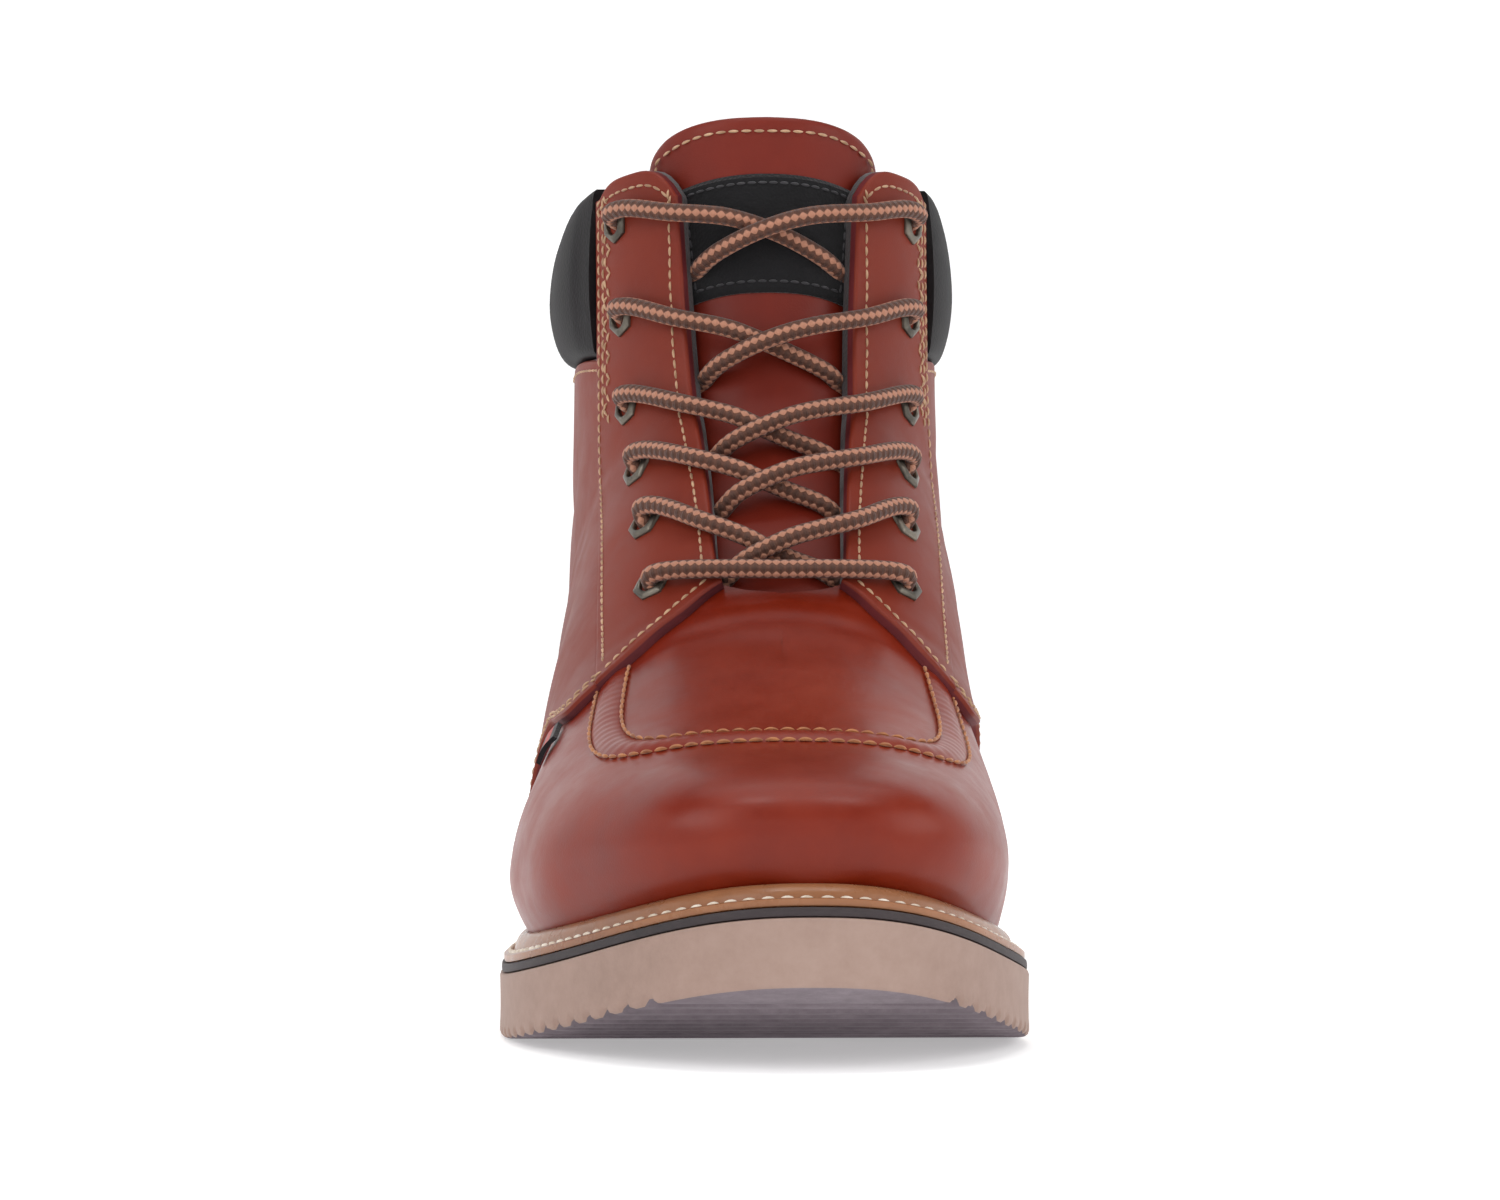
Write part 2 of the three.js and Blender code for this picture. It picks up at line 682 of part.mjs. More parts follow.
function collarBlock() {
  const line = (side, share, rowShare, offset) => {
    let girth = share;
    let row = collarRow;
    for (let pass = 0; pass < 6; pass += 1) {
      row = mix(collarLine(girth), collarRow + 1, rowShare);
      girth = (eyestaySeamGirth(side, row) - seamDrop) * share;
    }
    return offsetPoint(side, row, girth, offset);
  };
  const sheet = (offset) => steps(0, 1, 8).map((rowShare) => [
    ...collarShares.map((share) => line(-1, share, rowShare, offset)),
    line(1, 0, rowShare, offset),
    ...collarShares.slice().reverse().map((share) => line(1, share, rowShare, offset)),
  ]);
  return shell(sheet(2 * upperWall), sheet(-2 * upperWall));
}

// Overlay cut from a larger skin of the upper by a block that stands on its own outline.
function overlay(side, columns, thickness, outlineAt, blockColumns, blockRows) {
  const skin = (offset) => upperSkin(side, offset).map((line) => line.slice(...columns));
  const block = (offset) => blockRows.map((rowShare) => blockColumns.map((columnShare) => {
    const { row, girth } = outlineAt(rowShare, columnShare);
    return offsetPoint(side, row, girth, offset);
  }));
  const panel = shell(skin(overlayLift + thickness), skin(overlayLift));
  return fromSolid(solid(panel).intersect(solid(shell(block(3 * thickness), block(-upperWall / 2)))));
}

const frontEdge = (girth) => fromTable(quarterFrontRows, 'girth', 'row', girth, true);

// Quarter panel of one side: from behind the vamp round to the back seam.
function quarterGeometry(side) {
  const outlineAt = (rowShare, columnShare) => {
    let girth = columnShare;
    let row = throatRow;
    for (let pass = 0; pass < 6; pass += 1) {
      row = mix(frontEdge(girth), collarLine(girth), rowShare);
      const seam = eyestaySeamGirth(side, row) - seamDrop;
      const rear = row > heelRow ? girthFor(gap / 2, side, row, 0.02) : edgeExcess;
      girth = mix(rear, seam - girthFor(2 * gap, side, row, seam), columnShare);
    }
    return { row, girth };
  };
  return overlay(side, [0, rearShares.length + 1], quarterThickness, outlineAt, steps(0, 1, 8), steps(0, 1, 12));
}

// Eyestay of one side: from its seam to the throat, with a slanted lower edge on the vamp.
function eyestayGeometry(side) {
  const lowerHalf = throatRows[2].half * ballWidth - edgeMargin;
  const outlineAt = (rowShare, columnShare) => {
    let girth = mix(1.3, 1.7, columnShare);
    let row = throatRow;
    for (let pass = 0; pass < 8; pass += 1) {
      row = mix(frontEdge(girth), eyestayTop(side, girth) + edgeExcess, rowShare);
      const half = fromTable(throatRows, 'row', 'half', row, true) * ballWidth - edgeMargin;
      const seam = eyestaySeamGirth(side, row) - seamDrop;
      girth = mix(seam, girthAt(side, row, Math.max(half, lowerHalf)), columnShare);
    }
    return { row, girth };
  };
  const rows = [0, 0.02, 0.05, 0.1, 0.17, 0.26, 0.36, 0.48, 0.6, 0.72, 0.84, 0.93, 1];
  const body = overlay(side, [rearShares.length - 2, Infinity], eyestayThickness, outlineAt, steps(0, 1, 5), rows);
  return cut(body, eyeletSeats(side).map(eyeletHole));
}

// Eyelet seats down the eyestay, a pitch apart along its surface.
function eyeletSeats(side) {
  const halfOf = (row) => fromTable(throatRows, 'row', 'half', row, true) * ballWidth + eyeletInset;
  const pointOf = (row) => surfacePoint(side, row, girthAt(side, row, halfOf(row)));
  const seats = [];
  let row = collarRow;
  let travelled = 0;
  let from = pointOf(row);
  while (seats.length < eyeletPairs && row > throatRow) {
    row -= 0.01;
    const to = pointOf(row);
    travelled += from.distanceTo(to);
    from = to;
    if (travelled >= topEyeletDrop + seats.length * eyeletPitch) {
      const half = halfOf(row);
      seats.push({ row, half, point: to, normal: surfaceNormal(side, row, girthAt(side, row, half)) });
    }
  }
  return seats;
}

// Puts a piece made round the Z axis on a seat, its Z along the seat's normal.
function onSeat(geometry, { point, normal }, lift) {
  const turn = new THREE.Quaternion().setFromUnitVectors(new THREE.Vector3(0, 0, 1), normal);
  const centre = point.clone().addScaledVector(normal, lift);
  return geometry.applyQuaternion(turn).translate(centre.x, centre.y, centre.z);
}

const eyeletDepth = upperWall + overlayLift + eyestayThickness + gap;

function eyeletHole(seat) {
  const radius = eyeletBarrel / 2 + holeClearance;
  const drill = new THREE.CylinderGeometry(radius, radius, 6 * upperWall, 8).rotateX(Math.PI / 2);
  return onSeat(drill, seat, 0);
}

// Six-sided eyelet: a flange on the eyestay and a barrel through it and the upper.
function eyeletGeometry(seat) {
  const outer = eyeletAcross / 2;
  const profile = [
    [eyeletBore / 2, eyeletFlange],
    [outer, eyeletFlange * 0.7],
    [outer, 0],
    [eyeletBarrel / 2, 0],
    [eyeletBarrel / 2, -eyeletDepth],
    [eyeletBore / 2, -eyeletDepth],
    [eyeletBore / 2, eyeletFlange],
  ].map(([radius, height]) => new THREE.Vector2(radius, height));
  const body = new THREE.LatheGeometry(profile, 6).rotateX(Math.PI / 2);
  return onSeat(closedLathe(body), seat, overlayLift + eyestayThickness + gap);
}

function closedLathe(geometry) {
  const bare = geometry.clone();
  bare.deleteAttribute('normal');
  bare.deleteAttribute('uv');
  return outward(mergeVertices(bare, 1e-4));
}

// Padded collar: a closed profile carried round the back from seam to seam.
function collarGeometry() {
  const ring = (side, share) => collarProfile.map(({ share: up, depth, lining }) => {
    let girth = share;
    let row = collarRow;
    for (let pass = 0; pass < 6; pass += 1) {
      const low = collarLine(girth);
      row = mix(low + rowsFor(gap, side, low, girth), collarRow, up);
      const seam = eyestaySeamGirth(side, row) - seamDrop;
      girth = (seam - girthFor(3 * gap, side, row, seam)) * share;
    }
    const taper = mix(1, 0.35, clamp((share - 0.7) / 0.3, 0, 1));
    const outerDepth = quarterThickness + (collarBulge - quarterThickness) * depth * taper;
    return offsetPoint(side, row, girth, lining ? collarLining * depth : outerDepth);
  });
  const rings = [
    ...collarShares.map((share) => ring(-1, share)),
    ring(1, 0),
    ...collarShares.slice().reverse().map((share) => ring(1, share)),
  ];
  return loft(rings);
}

// Raised seam of the moc toe, swept along its course on the vamp.
function mocSeamGeometry() {
  const around = [...mocSeamRows.slice(1).reverse().map((row) => ({ ...row, side: -1 })),
    ...mocSeamRows.map((row) => ({ ...row, side: 1 }))];
  const seats = around.map(({ row, half, side }) => {
    const girth = half === 0 ? 2 : girthAt(side, row, half * ballWidth);
    return { point: surfacePoint(side, row, girth), normal: surfaceNormal(side, row, girth) };
  });
  const course = new THREE.CatmullRomCurve3(seats.map(({ point }) => point), false, 'centripetal');
  const normals = new THREE.CatmullRomCurve3(seats.map(({ normal }) => normal), false, 'centripetal');
  const profile = [[-0.5, 0.25], [-0.3, 0.85], [0, 1], [0.3, 0.85], [0.5, 0.25], [0.25, 0], [-0.25, 0]];
  const rings = steps(0, 1, 26).map((share) => {
    const point = course.getPoint(share);
    const tangent = course.getTangent(share);
    const normal = normals.getPoint(share).normalize();
    const across = new THREE.Vector3().crossVectors(tangent, normal).normalize();
    return profile.map(([width, height]) => point.clone()
      .addScaledVector(across, width * seamRidgeWidth)
      .addScaledVector(normal, gap * 2 + height * seamRidgeHeight));
  });
  return loft(rings);
}

// Tongue: a sheet under the throat, sewn in at its lower end and standing above the collar.
const tongueTopRow = collarRow + rowsFor(tongueRise, 1, collarRow + 1, 2);
const tongueRows = [
  { share: 0.0, half: 0.2, depth: 0.95 },
  { share: 0.25, half: 0.22, depth: 1 },
  { share: 0.55, half: 0.25, depth: 1 },
  { share: 0.78, half: 0.285, depth: 1 },
  { share: 0.86, half: 0.277, depth: 1 },
  { share: 0.92, half: 0.252, depth: 1 },
  { share: 0.96, half: 0.205, depth: 1 },
  { share: 0.98, half: 0.162, depth: 1 },
  { share: 1.0, half: 0.08, depth: 1 },
];

function tonguePoint(share, across, offset) {
  const row = mix(throatRow - 0.3, tongueTopRow, share);
  const half = fromTable(tongueRows, 'share', 'half', share) * ballWidth;
  const side = across < 0 ? -1 : 1;
  const girth = across === 0 ? 2 : girthAt(side, row, Math.abs(across) * half);
  const depth = fromTable(tongueRows, 'share', 'depth', share, true);
  const seat = upperWall + gap + (patchThickness + 2 * gap) * depth;
  return offsetPoint(side, row, girth, -seat - offset);
}

function tongueGeometry() {
  const columns = [-1, -0.75, -0.5, -0.25, 0, 0.25, 0.5, 0.75, 1];
  const rows = steps(0, 0.86, 11).concat([0.9, 0.94, 0.97, 0.99, 1]);
  const sheet = (offset) => rows.map((share) => columns.map((across) => {
    const edge = 1 - 0.6 * Math.abs(across) ** 4;
    return tonguePoint(share, across, offset * edge);
  }));
  return shell(sheet(0), sheet(tongueThickness));
}

// Bare patch on the front of the tongue, under the top crossings.
function patchGeometry() {
  const across = patchWidth / ballWidth / 2 / fromTable(tongueRows, 'share', 'half', 0.75);
  const columns = steps(-across, across, 8);
  const top = 0.85;
  const probe = tonguePoint(top, 0, 0).distanceTo(tonguePoint(top - 0.1, 0, 0)) / 0.1;
  const rows = steps(top - patchHeight / probe, top, 4);
  const sheet = (offset) => rows.map((share) => columns.map((value) => tonguePoint(share, value, offset)));
  return shell(sheet(-gap - patchThickness), sheet(-gap));
}

// Small folded tag tucked under the arch of the lateral quarter's front edge.
function tagGeometry() {
  const girths = steps(1.2, 1.34, 3);
  const rows = steps(7.7, 7.7 + rowsFor(tagWidth, -1, 7.9, 1.27), 3);
  const sheet = (offset) => rows.map((row) => girths.map((girth) => offsetPoint(-1, row, girth, offset)));
  return shell(sheet(gap + tagThickness), sheet(gap));
}

// Laces: in each gap between eyelet pairs two runs cross and are joined where they touch.
function laceTube(points) {
  const ring = new THREE.Shape(steps(0, 2 * Math.PI, laceSides).slice(0, -1).map((turn) => (
    new THREE.Vector2(Math.cos(turn), Math.sin(turn)).multiplyScalar(laceDiameter / 2)
  )));
  const path = new THREE.CatmullRomCurve3(points, false, 'centripetal');
  return new THREE.ExtrudeGeometry(ring, { steps: 7, bevelEnabled: false, extrudePath: path });
}

const laceLift = overlayLift + eyestayThickness + gap + eyeletFlange + laceClearance + laceDiameter / 2;

// Point of a lace over the throat: across is the distance from the ridge line, negative on
// the lateral side. Between the eyestays a taut run lies lower than on them.
function lacePoint(row, across, hump) {
  const side = across < 0 ? -1 : 1;
  const throat = fromTable(throatRows, 'row', 'half', row, true) * ballWidth;
  const dip = laceDip * (1 - Math.min(1, Math.abs(across) / throat) ** 2);
  return offsetPoint(side, row, girthAt(side, row, Math.abs(across)), laceLift - dip + hump);
}

// One run of lace, from an eyelet across the throat to the edge of the other eyestay.
function laceRun(from, to, side, hump) {
  const stop = fromTable(throatRows, 'row', 'half', to.row, true) * ballWidth - laceDiameter / 2 - laceClearance;
  const reach = (from.half + stop) / (from.half + to.half);
  return laceTube(steps(0, 1, 6).map((share) => {
    const across = side * mix(from.half, -stop, share);
    const lift = hump * Math.exp(-((across / laceDiameter) ** 2) / 6);
    return lacePoint(mix(from.row, to.row, share * reach), across, lift - laceTuck * share ** 6);
  }));
}

function crossingGeometry(upperPair, lowerPair) {
  return join([
    laceRun(upperPair.lateral, lowerPair.medial, -1, 0),
    laceRun(upperPair.medial, lowerPair.lateral, 1, laceDiameter * 0.8),
  ]);
}

function barGeometry(pair) {
  return laceTube(steps(-1, 1, 8).map((share) => {
    const end = share < 0 ? pair.lateral : pair.medial;
    return lacePoint(end.row, share * end.half, 0);
  }));
}

const boot = new THREE.Group();
boot.name = 'work_boot';

function add(name, geometry, finish) {
  const mesh = new THREE.Mesh(geometry, new THREE.MeshStandardMaterial(finishes[finish]));
  mesh.name = name;
  boot.add(mesh);
}

const seats = { lateral: eyeletSeats(-1), medial: eyeletSeats(1) };
const drills = [...seats.lateral, ...seats.medial].map(eyeletHole);

add('outsole', outsoleGeometry(), 'outsole');
add('midsole', soleLayer(evenInset(midsoleInset), 28, midsoleBottom, midsoleTop), 'midsole');
add('welt', weltGeometry(), 'welt');
add('insole', insoleGeometry(), 'insole');
add('upper', upperGeometry(), 'leather');
add('quarter_lateral', quarterGeometry(-1), 'quarterLeather');
add('quarter_medial', quarterGeometry(1), 'quarterLeather');
add('eyestay_lateral', eyestayGeometry(-1), 'quarterLeather');
add('eyestay_medial', eyestayGeometry(1), 'quarterLeather');
add('collar_pad', collarGeometry(), 'lining');
add('moc_seam', mocSeamGeometry(), 'leather');
add('tongue', tongueGeometry(), 'leather');
add('tongue_patch', patchGeometry(), 'patch');
add('side_tag', tagGeometry(), 'tag');
for (const side of ['lateral', 'medial']) {
  seats[side].forEach((seat, i) => add(`eyelet_${side}_${i + 1}`, eyeletGeometry(seat), 'eyelet'));
}
const pairs = seats.lateral.map((lateral, i) => ({ lateral, medial: seats.medial[i] }));
for (let i = 0; i < pairs.length - 1; i += 1) {
  add(`lace_crossing_${i + 1}`, crossingGeometry(pairs[i], pairs[i + 1]), 'lace');
}
add('lace_bar', barGeometry(pairs[pairs.length - 1]), 'lace');

export default boot;
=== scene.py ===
"""Looks of a lace-up work boot with a moc toe and a wedge sole, one right shoe.

Lengths are in millimetres in every shape function and are turned to metres when a mesh is made.
The toe points along -Y, +X is the inner (medial) side of the foot and +Z is up.
"""
import logging
import math
from dataclasses import dataclass, field
from enum import Enum, IntEnum

import bpy
import numpy as np
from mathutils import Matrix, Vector


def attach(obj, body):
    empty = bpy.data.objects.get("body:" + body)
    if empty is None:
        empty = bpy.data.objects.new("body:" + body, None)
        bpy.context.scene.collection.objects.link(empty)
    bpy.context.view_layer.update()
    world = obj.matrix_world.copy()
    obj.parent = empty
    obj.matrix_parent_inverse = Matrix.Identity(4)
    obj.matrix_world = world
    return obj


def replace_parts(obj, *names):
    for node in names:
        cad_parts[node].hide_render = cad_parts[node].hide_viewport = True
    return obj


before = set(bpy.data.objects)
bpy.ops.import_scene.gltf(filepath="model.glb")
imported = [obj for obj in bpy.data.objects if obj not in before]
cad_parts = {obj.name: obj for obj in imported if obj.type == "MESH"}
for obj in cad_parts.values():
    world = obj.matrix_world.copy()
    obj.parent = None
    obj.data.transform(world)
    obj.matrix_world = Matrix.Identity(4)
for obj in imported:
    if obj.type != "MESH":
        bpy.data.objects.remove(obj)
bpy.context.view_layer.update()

log = logging.getLogger("work_boot")
Array = np.ndarray


class Side(IntEnum):
    """The two sides of a right shoe, as signs of X."""

    LATERAL = -1
    MEDIAL = 1


# ---------------------------------------------------------------- numbers


def mix(start: Array | float, end: Array | float, share: Array | float) -> Array | float:
    """Straight blend from start to end."""
    return start + (end - start) * share


def smoothstep(start: float, end: float, value: Array | float) -> Array:
    """Smooth 0 to 1 ramp: 3t^2 - 2t^3 with t the clamped share of the way."""
    share = np.clip((np.asarray(value, float) - start) / (end - start), 0, 1)
    return share * share * (3 - 2 * share)


def hermite(keys: Array, values: Array, at: Array | float, steady: bool = False) -> Array:
    """Cubic through table points, each piece a Hermite cubic with the neighbours' slope.

    Args:
        keys: rising table positions.
        values: one value, or one vector, for each key.
        at: where to read the curve.
        steady: take the harmonic mean of the slopes, so that nothing overshoots.

    Returns:
        The values of the curve.
    """
    keys, values = np.asarray(keys, float), np.asarray(values, float)
    at = np.clip(np.asarray(at, float), keys[0], keys[-1])
    wide = values.ndim > 1
    step = np.diff(keys)[:, None] if wide else np.diff(keys)
    slope = np.diff(values, axis=0) / step
    middle = (values[2:] - values[:-2]) / (keys[2:] - keys[:-2])[(...,) + (None,) * wide]
    if steady:
        product = slope[:-1] * slope[1:]
        total = slope[:-1] + slope[1:]
        middle = np.where(product <= 0, 0, 2 * product / np.where(total == 0, 1, total))
    tangent = np.concatenate([slope[:1], middle, slope[-1:]])
    low = np.clip(np.searchsorted(keys, at, side="left") - 1, 0, len(keys) - 2)
    span = (keys[low + 1] - keys[low])[(...,) + (None,) * wide]
    share = (at - keys[low])[(...,) + (None,) * wide] / span
    rise = values[low + 1] - values[low]
    first, last = tangent[low] * span, tangent[low + 1] * span
    return (values[low] + first * share + (3 * rise - 2 * first - last) * share**2
            + (first + last - 2 * rise) * share**3)


def unit(vectors: Array) -> Array:
    """Vectors of length one along the last axis."""
    return vectors / np.maximum(np.linalg.norm(vectors, axis=-1, keepdims=True), 1e-12)


def travelled(points: Array) -> Array:
    """Distance along a line of points, from 0."""
    return np.concatenate([[0.0], np.cumsum(np.linalg.norm(np.diff(points, axis=0), axis=1))])


def linear_hex(code: str) -> tuple[float, float, float, float]:
    """An sRGB hex colour as linear red, green, blue and alpha."""
    values = np.array([int(code[i:i + 2], 16) for i in (1, 3, 5)]) / 255
    linear = np.where(values <= 0.04045, values / 12.92, ((values + 0.055) / 1.055) ** 2.4)
    return (*linear.tolist(), 1.0)


# ---------------------------------------------------------------- meshes


def grid_faces(rows: int, columns: int, closed: bool = False) -> Array:
    """Quads of a grid of points, row after row; closed joins the last column to the first."""
    i, j = np.meshgrid(np.arange(rows - 1), np.arange(columns - (0 if closed else 1)), indexing="ij")
    right = (j + 1) % columns
    return np.stack([i * columns + j, i * columns + right, (i + 1) * columns + right, (i + 1) * columns + j],
                    -1).reshape(-1, 4)


def weld(points: Array, faces: Array, within: float = 0.004) -> tuple[Array, Array, Array]:
    """Merges points that lie together and drops the faces that this closes up.

    Args:
        points: points in millimetres.
        faces: quads of point numbers.
        within: the size of the cells in which points count as one.

    Returns:
        The number of the first point of each merged one, the new quads, and which quads stay.
    """
    _, first, inverse = np.unique(np.round(points / within).astype(np.int64), axis=0,
                                  return_index=True, return_inverse=True)
    faces = inverse.reshape(-1)[faces]
    distinct = (np.sort(faces, axis=1)[:, 1:] != np.sort(faces, axis=1)[:, :-1]).sum(1)
    stays = distinct >= 2
    return first, faces[stays], stays


def polygons_of(faces: Array) -> list[list[int]]:
    """Quads as lists, with a doubled corner taken out of those that are triangles."""
    doubled = faces == np.roll(faces, -1, axis=1)
    whole = ~doubled.any(1)
    triangles = faces[~whole][~doubled[~whole]].reshape(-1, 3) if (~whole).any() else np.zeros((0, 3), int)
    return faces[whole].tolist() + triangles.tolist()


def by_polygon(faces: Array, values: Array) -> Array:
    """A value for each quad, in the order in which polygons_of gives them."""
    doubled = (faces == np.roll(faces, -1, axis=1)).any(1)
    return np.concatenate([values[~doubled], values[doubled]])


def thicken(outer: Array, inner: Array, faces: Array) -> tuple[Array, Array, Array]:
    """Closes two like skins into a wall: the outer faces, the inner ones turned round, and a
    strip of quads along every edge that only one face uses.

    Returns:
        Points, quads, and 0, 1 or 2 for each quad's outer skin, rim or inner skin.
    """
    count = len(outer)
    edges = np.concatenate([np.stack([faces[:, k], faces[:, (k + 1) % 4]], 1) for k in range(4)])
    edges = edges[edges[:, 0] != edges[:, 1]]
    keys = np.sort(edges, axis=1)
    _, inverse, uses = np.unique(keys, axis=0, return_inverse=True, return_counts=True)
    rim = edges[uses[inverse.reshape(-1)] == 1]
    walls = np.stack([rim[:, 1], rim[:, 0], rim[:, 0] + count, rim[:, 1] + count], 1)
    quads = np.concatenate([faces, walls, faces[:, ::-1] + count])
    kinds = np.concatenate([np.zeros(len(faces), int), np.ones(len(walls), int), np.full(len(faces), 2)])
    return np.concatenate([outer, inner]), quads, kinds


def mesh_object(name: str, points: Array, faces: Array | list[list[int]], finishes: list[bpy.types.Material],
                slots: Array | None = None, crease: float = 38.0, uv: Array | None = None) -> bpy.types.Object:
    """A smooth-shaded object at the origin from points in millimetres.

    Args:
        name: the piece's name.
        points: its points.
        faces: its faces, as quads or lists of point numbers.
        finishes: its materials.
        slots: a material number for each face.
        crease: the angle in degrees past which an edge is sharp.
        uv: a UV pair for each corner of each face.

    Returns:
        The new object, riding on the body.
    """
    mesh = bpy.data.meshes.new(name)
    mesh.from_pydata((points / 1000).tolist(), [], faces if isinstance(faces, list) else faces.tolist())
    for finish in finishes:
        mesh.materials.append(finish)
    if slots is not None:
        mesh.polygons.foreach_set("material_index", np.asarray(slots, np.int32))
    if uv is not None:
        layer = mesh.uv_layers.new(name="along")
        layer.data.foreach_set("uv", uv.astype(np.float32).ravel())
    mesh.polygons.foreach_set("use_smooth", np.ones(len(mesh.polygons), bool))
    mesh.update()
    mesh.set_sharp_from_angle(angle=math.radians(crease))
    piece = bpy.data.objects.new(name, mesh)
    bpy.context.scene.collection.objects.link(piece)
    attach(piece, "root")
    return piece


def sweep(line: Array, reference: Array, profile: Array, scale: Array | None = None) -> Array:
    """A profile carried along a line: point plus profile x times the side direction plus
    profile y times the direction square to the line, nearest to the reference.

    Args:
        line: points of the path, one a row.
        reference: a direction for each point, or one for all.
        profile: (width, height) pairs.
        scale: a size factor for each point of the path.

    Returns:
        A grid of points, path by profile.
    """
    tangent = unit(np.gradient(line, axis=0))
    across = unit(np.cross(tangent, np.broadcast_to(reference, line.shape)))
    upward = np.cross(across, tangent)
    size = np.ones(len(line)) if scale is None else scale
    return (line[:, None] + size[:, None, None] * (profile[None, :, :1] * across[:, None]
                                                  + profile[None, :, 1:] * upward[:, None]))


def resample(line: Array, step: float) -> tuple[Array, Array]:
    """Evenly spaced distances along a line and their share of its points' numbers."""
    distance = travelled(line)
    count = max(int(round(distance[-1] / step)), 2)
    even = np.linspace(0, distance[-1], count + 1)
    return even, np.interp(even, distance, np.arange(len(line)))


def along(values: Array, at: Array) -> Array:
    """Rows of a table read between its rows."""
    return np.stack([np.interp(at, np.arange(len(values)), values[:, k]) for k in range(values.shape[1])], 1)


@dataclass(frozen=True)
class Thread:
    """Sewing thread: length and pitch of its stitches, its radius and how far it stands out."""

    length: float = 2.9
    pitch: float = 3.6
    radius: float = 0.38
    proud: float = 0.12
    slant: float = 0.0

    def stitches(self, line: Array, normals: Array) -> tuple[Array, Array]:
        """Stitches along a line: each is a tube along an arch, its radius a half ellipse and its
        height a parabola that dips into the leather at both ends.

        Args:
            line: the seam's points.
            normals: the surface's outward direction at each point.

        Returns:
            Points and quads of all stitches.
        """
        even, at = resample(line, self.pitch)
        centre, normal = along(line, (at[1:] + at[:-1]) / 2), unit(along(normals, (at[1:] + at[:-1]) / 2))
        tangent = unit(along(line, at[1:]) - along(line, at[:-1]))
        across = unit(np.cross(normal, tangent))
        tangent = unit(tangent + self.slant * across)
        across = unit(np.cross(normal, tangent))
        stations, sides = 6, 6
        share = np.linspace(-1, 1, stations)[:, None]
        turn = np.arange(sides)[None, :] * 2 * np.pi / sides
        radius = self.radius * np.sqrt(np.maximum(1 - (0.96 * share) ** 2, 0.02))
        forward = np.broadcast_to(share * self.length / 2, (stations, sides))
        sideways = radius * np.cos(turn)
        height = radius * np.sin(turn) + self.proud - 0.5 * self.radius * share**2
        local = np.stack([forward, sideways, height], -1).reshape(-1, 3)
        axes = np.stack([tangent, across, normal], 1)
        points = (centre[:, None] + np.einsum("pk,nkx->npx", local, axes)).reshape(-1, 3)
        faces = grid_faces(stations, sides, closed=True)
        caps = np.array([[0, 3, 2, 1], [0, 5, 4, 3], [0, 1, 2, 3], [0, 3, 4, 5]])
        caps[2:] += (stations - 1) * sides
        one = np.concatenate([faces[:, ::-1], caps[:, ::1]])
        every = one[None] + (np.arange(len(centre)) * stations * sides)[:, None, None]
        return points, every.reshape(-1, 4)


def joined(parts: list[tuple[Array, Array]]) -> tuple[Array, Array]:
    """Several pairs of points and quads as one."""
    offsets = np.cumsum([0] + [len(points) for points, _ in parts[:-1]])
    return (np.concatenate([points for points, _ in parts]),
            np.concatenate([faces + offset for (_, faces), offset in zip(parts, offsets)]))


# ---------------------------------------------------------------- finishes


def add_node(tree: bpy.types.NodeTree, kind: str, inputs: dict | None = None, **settings: object) -> bpy.types.Node:
    """Adds a node with its settings; an input that is a socket is linked, any other is set."""
    node = tree.nodes.new(kind)
    for name, value in settings.items():
        setattr(node, name, value)
    for name, value in (inputs or {}).items():
        if isinstance(value, bpy.types.NodeSocket):
            tree.links.new(value, node.inputs[name])
        else:
            node.inputs[name].default_value = value
    return node


def blank_material(name: str, **constants: object) -> tuple[bpy.types.Material, bpy.types.NodeTree, bpy.types.Node]:
    """A material with its shader alone, the constants set on the shader's own sockets."""
    material = bpy.data.materials.new(name)
    material.use_nodes = True
    tree = material.node_tree
    shader = tree.nodes["Principled BSDF"]
    for key, value in constants.items():
        shader.inputs[key.replace("_", " ")].default_value = value
    return material, tree, shader


def ramp(tree: bpy.types.NodeTree, factor: bpy.types.NodeSocket, stops: list[tuple[float, str]]) -> bpy.types.NodeSocket:
    """A colour ramp through hex colours."""
    node = add_node(tree, "ShaderNodeValToRGB", {"Fac": factor})
    while len(node.color_ramp.elements) < len(stops):
        node.color_ramp.elements.new(0.5)
    for element, (position, code) in zip(node.color_ramp.elements, stops):
        element.position, element.color = position, linear_hex(code)
    return node.outputs["Color"]


def place(tree: bpy.types.NodeTree) -> bpy.types.NodeSocket:
    """The Object coordinates, in metres."""
    return add_node(tree, "ShaderNodeTexCoord").outputs["Object"]


def noise(tree: bpy.types.NodeTree, size: float, detail: float = 3.0, rough: float = 0.5) -> bpy.types.NodeSocket:
    """Noise whose blotches are about size millimetres wide."""
    return add_node(tree, "ShaderNodeTexNoise", {"Vector": place(tree), "Scale": 1000 / size / 2, "Detail": detail,
                                                "Roughness": rough}).outputs["Fac"]


def maths(tree: bpy.types.NodeTree, operation: str, first: object, second: object = 0.0) -> bpy.types.NodeSocket:
    """One sum of two sockets or numbers."""
    return add_node(tree, "ShaderNodeMath", {0: first, 1: second}, operation=operation).outputs[0]


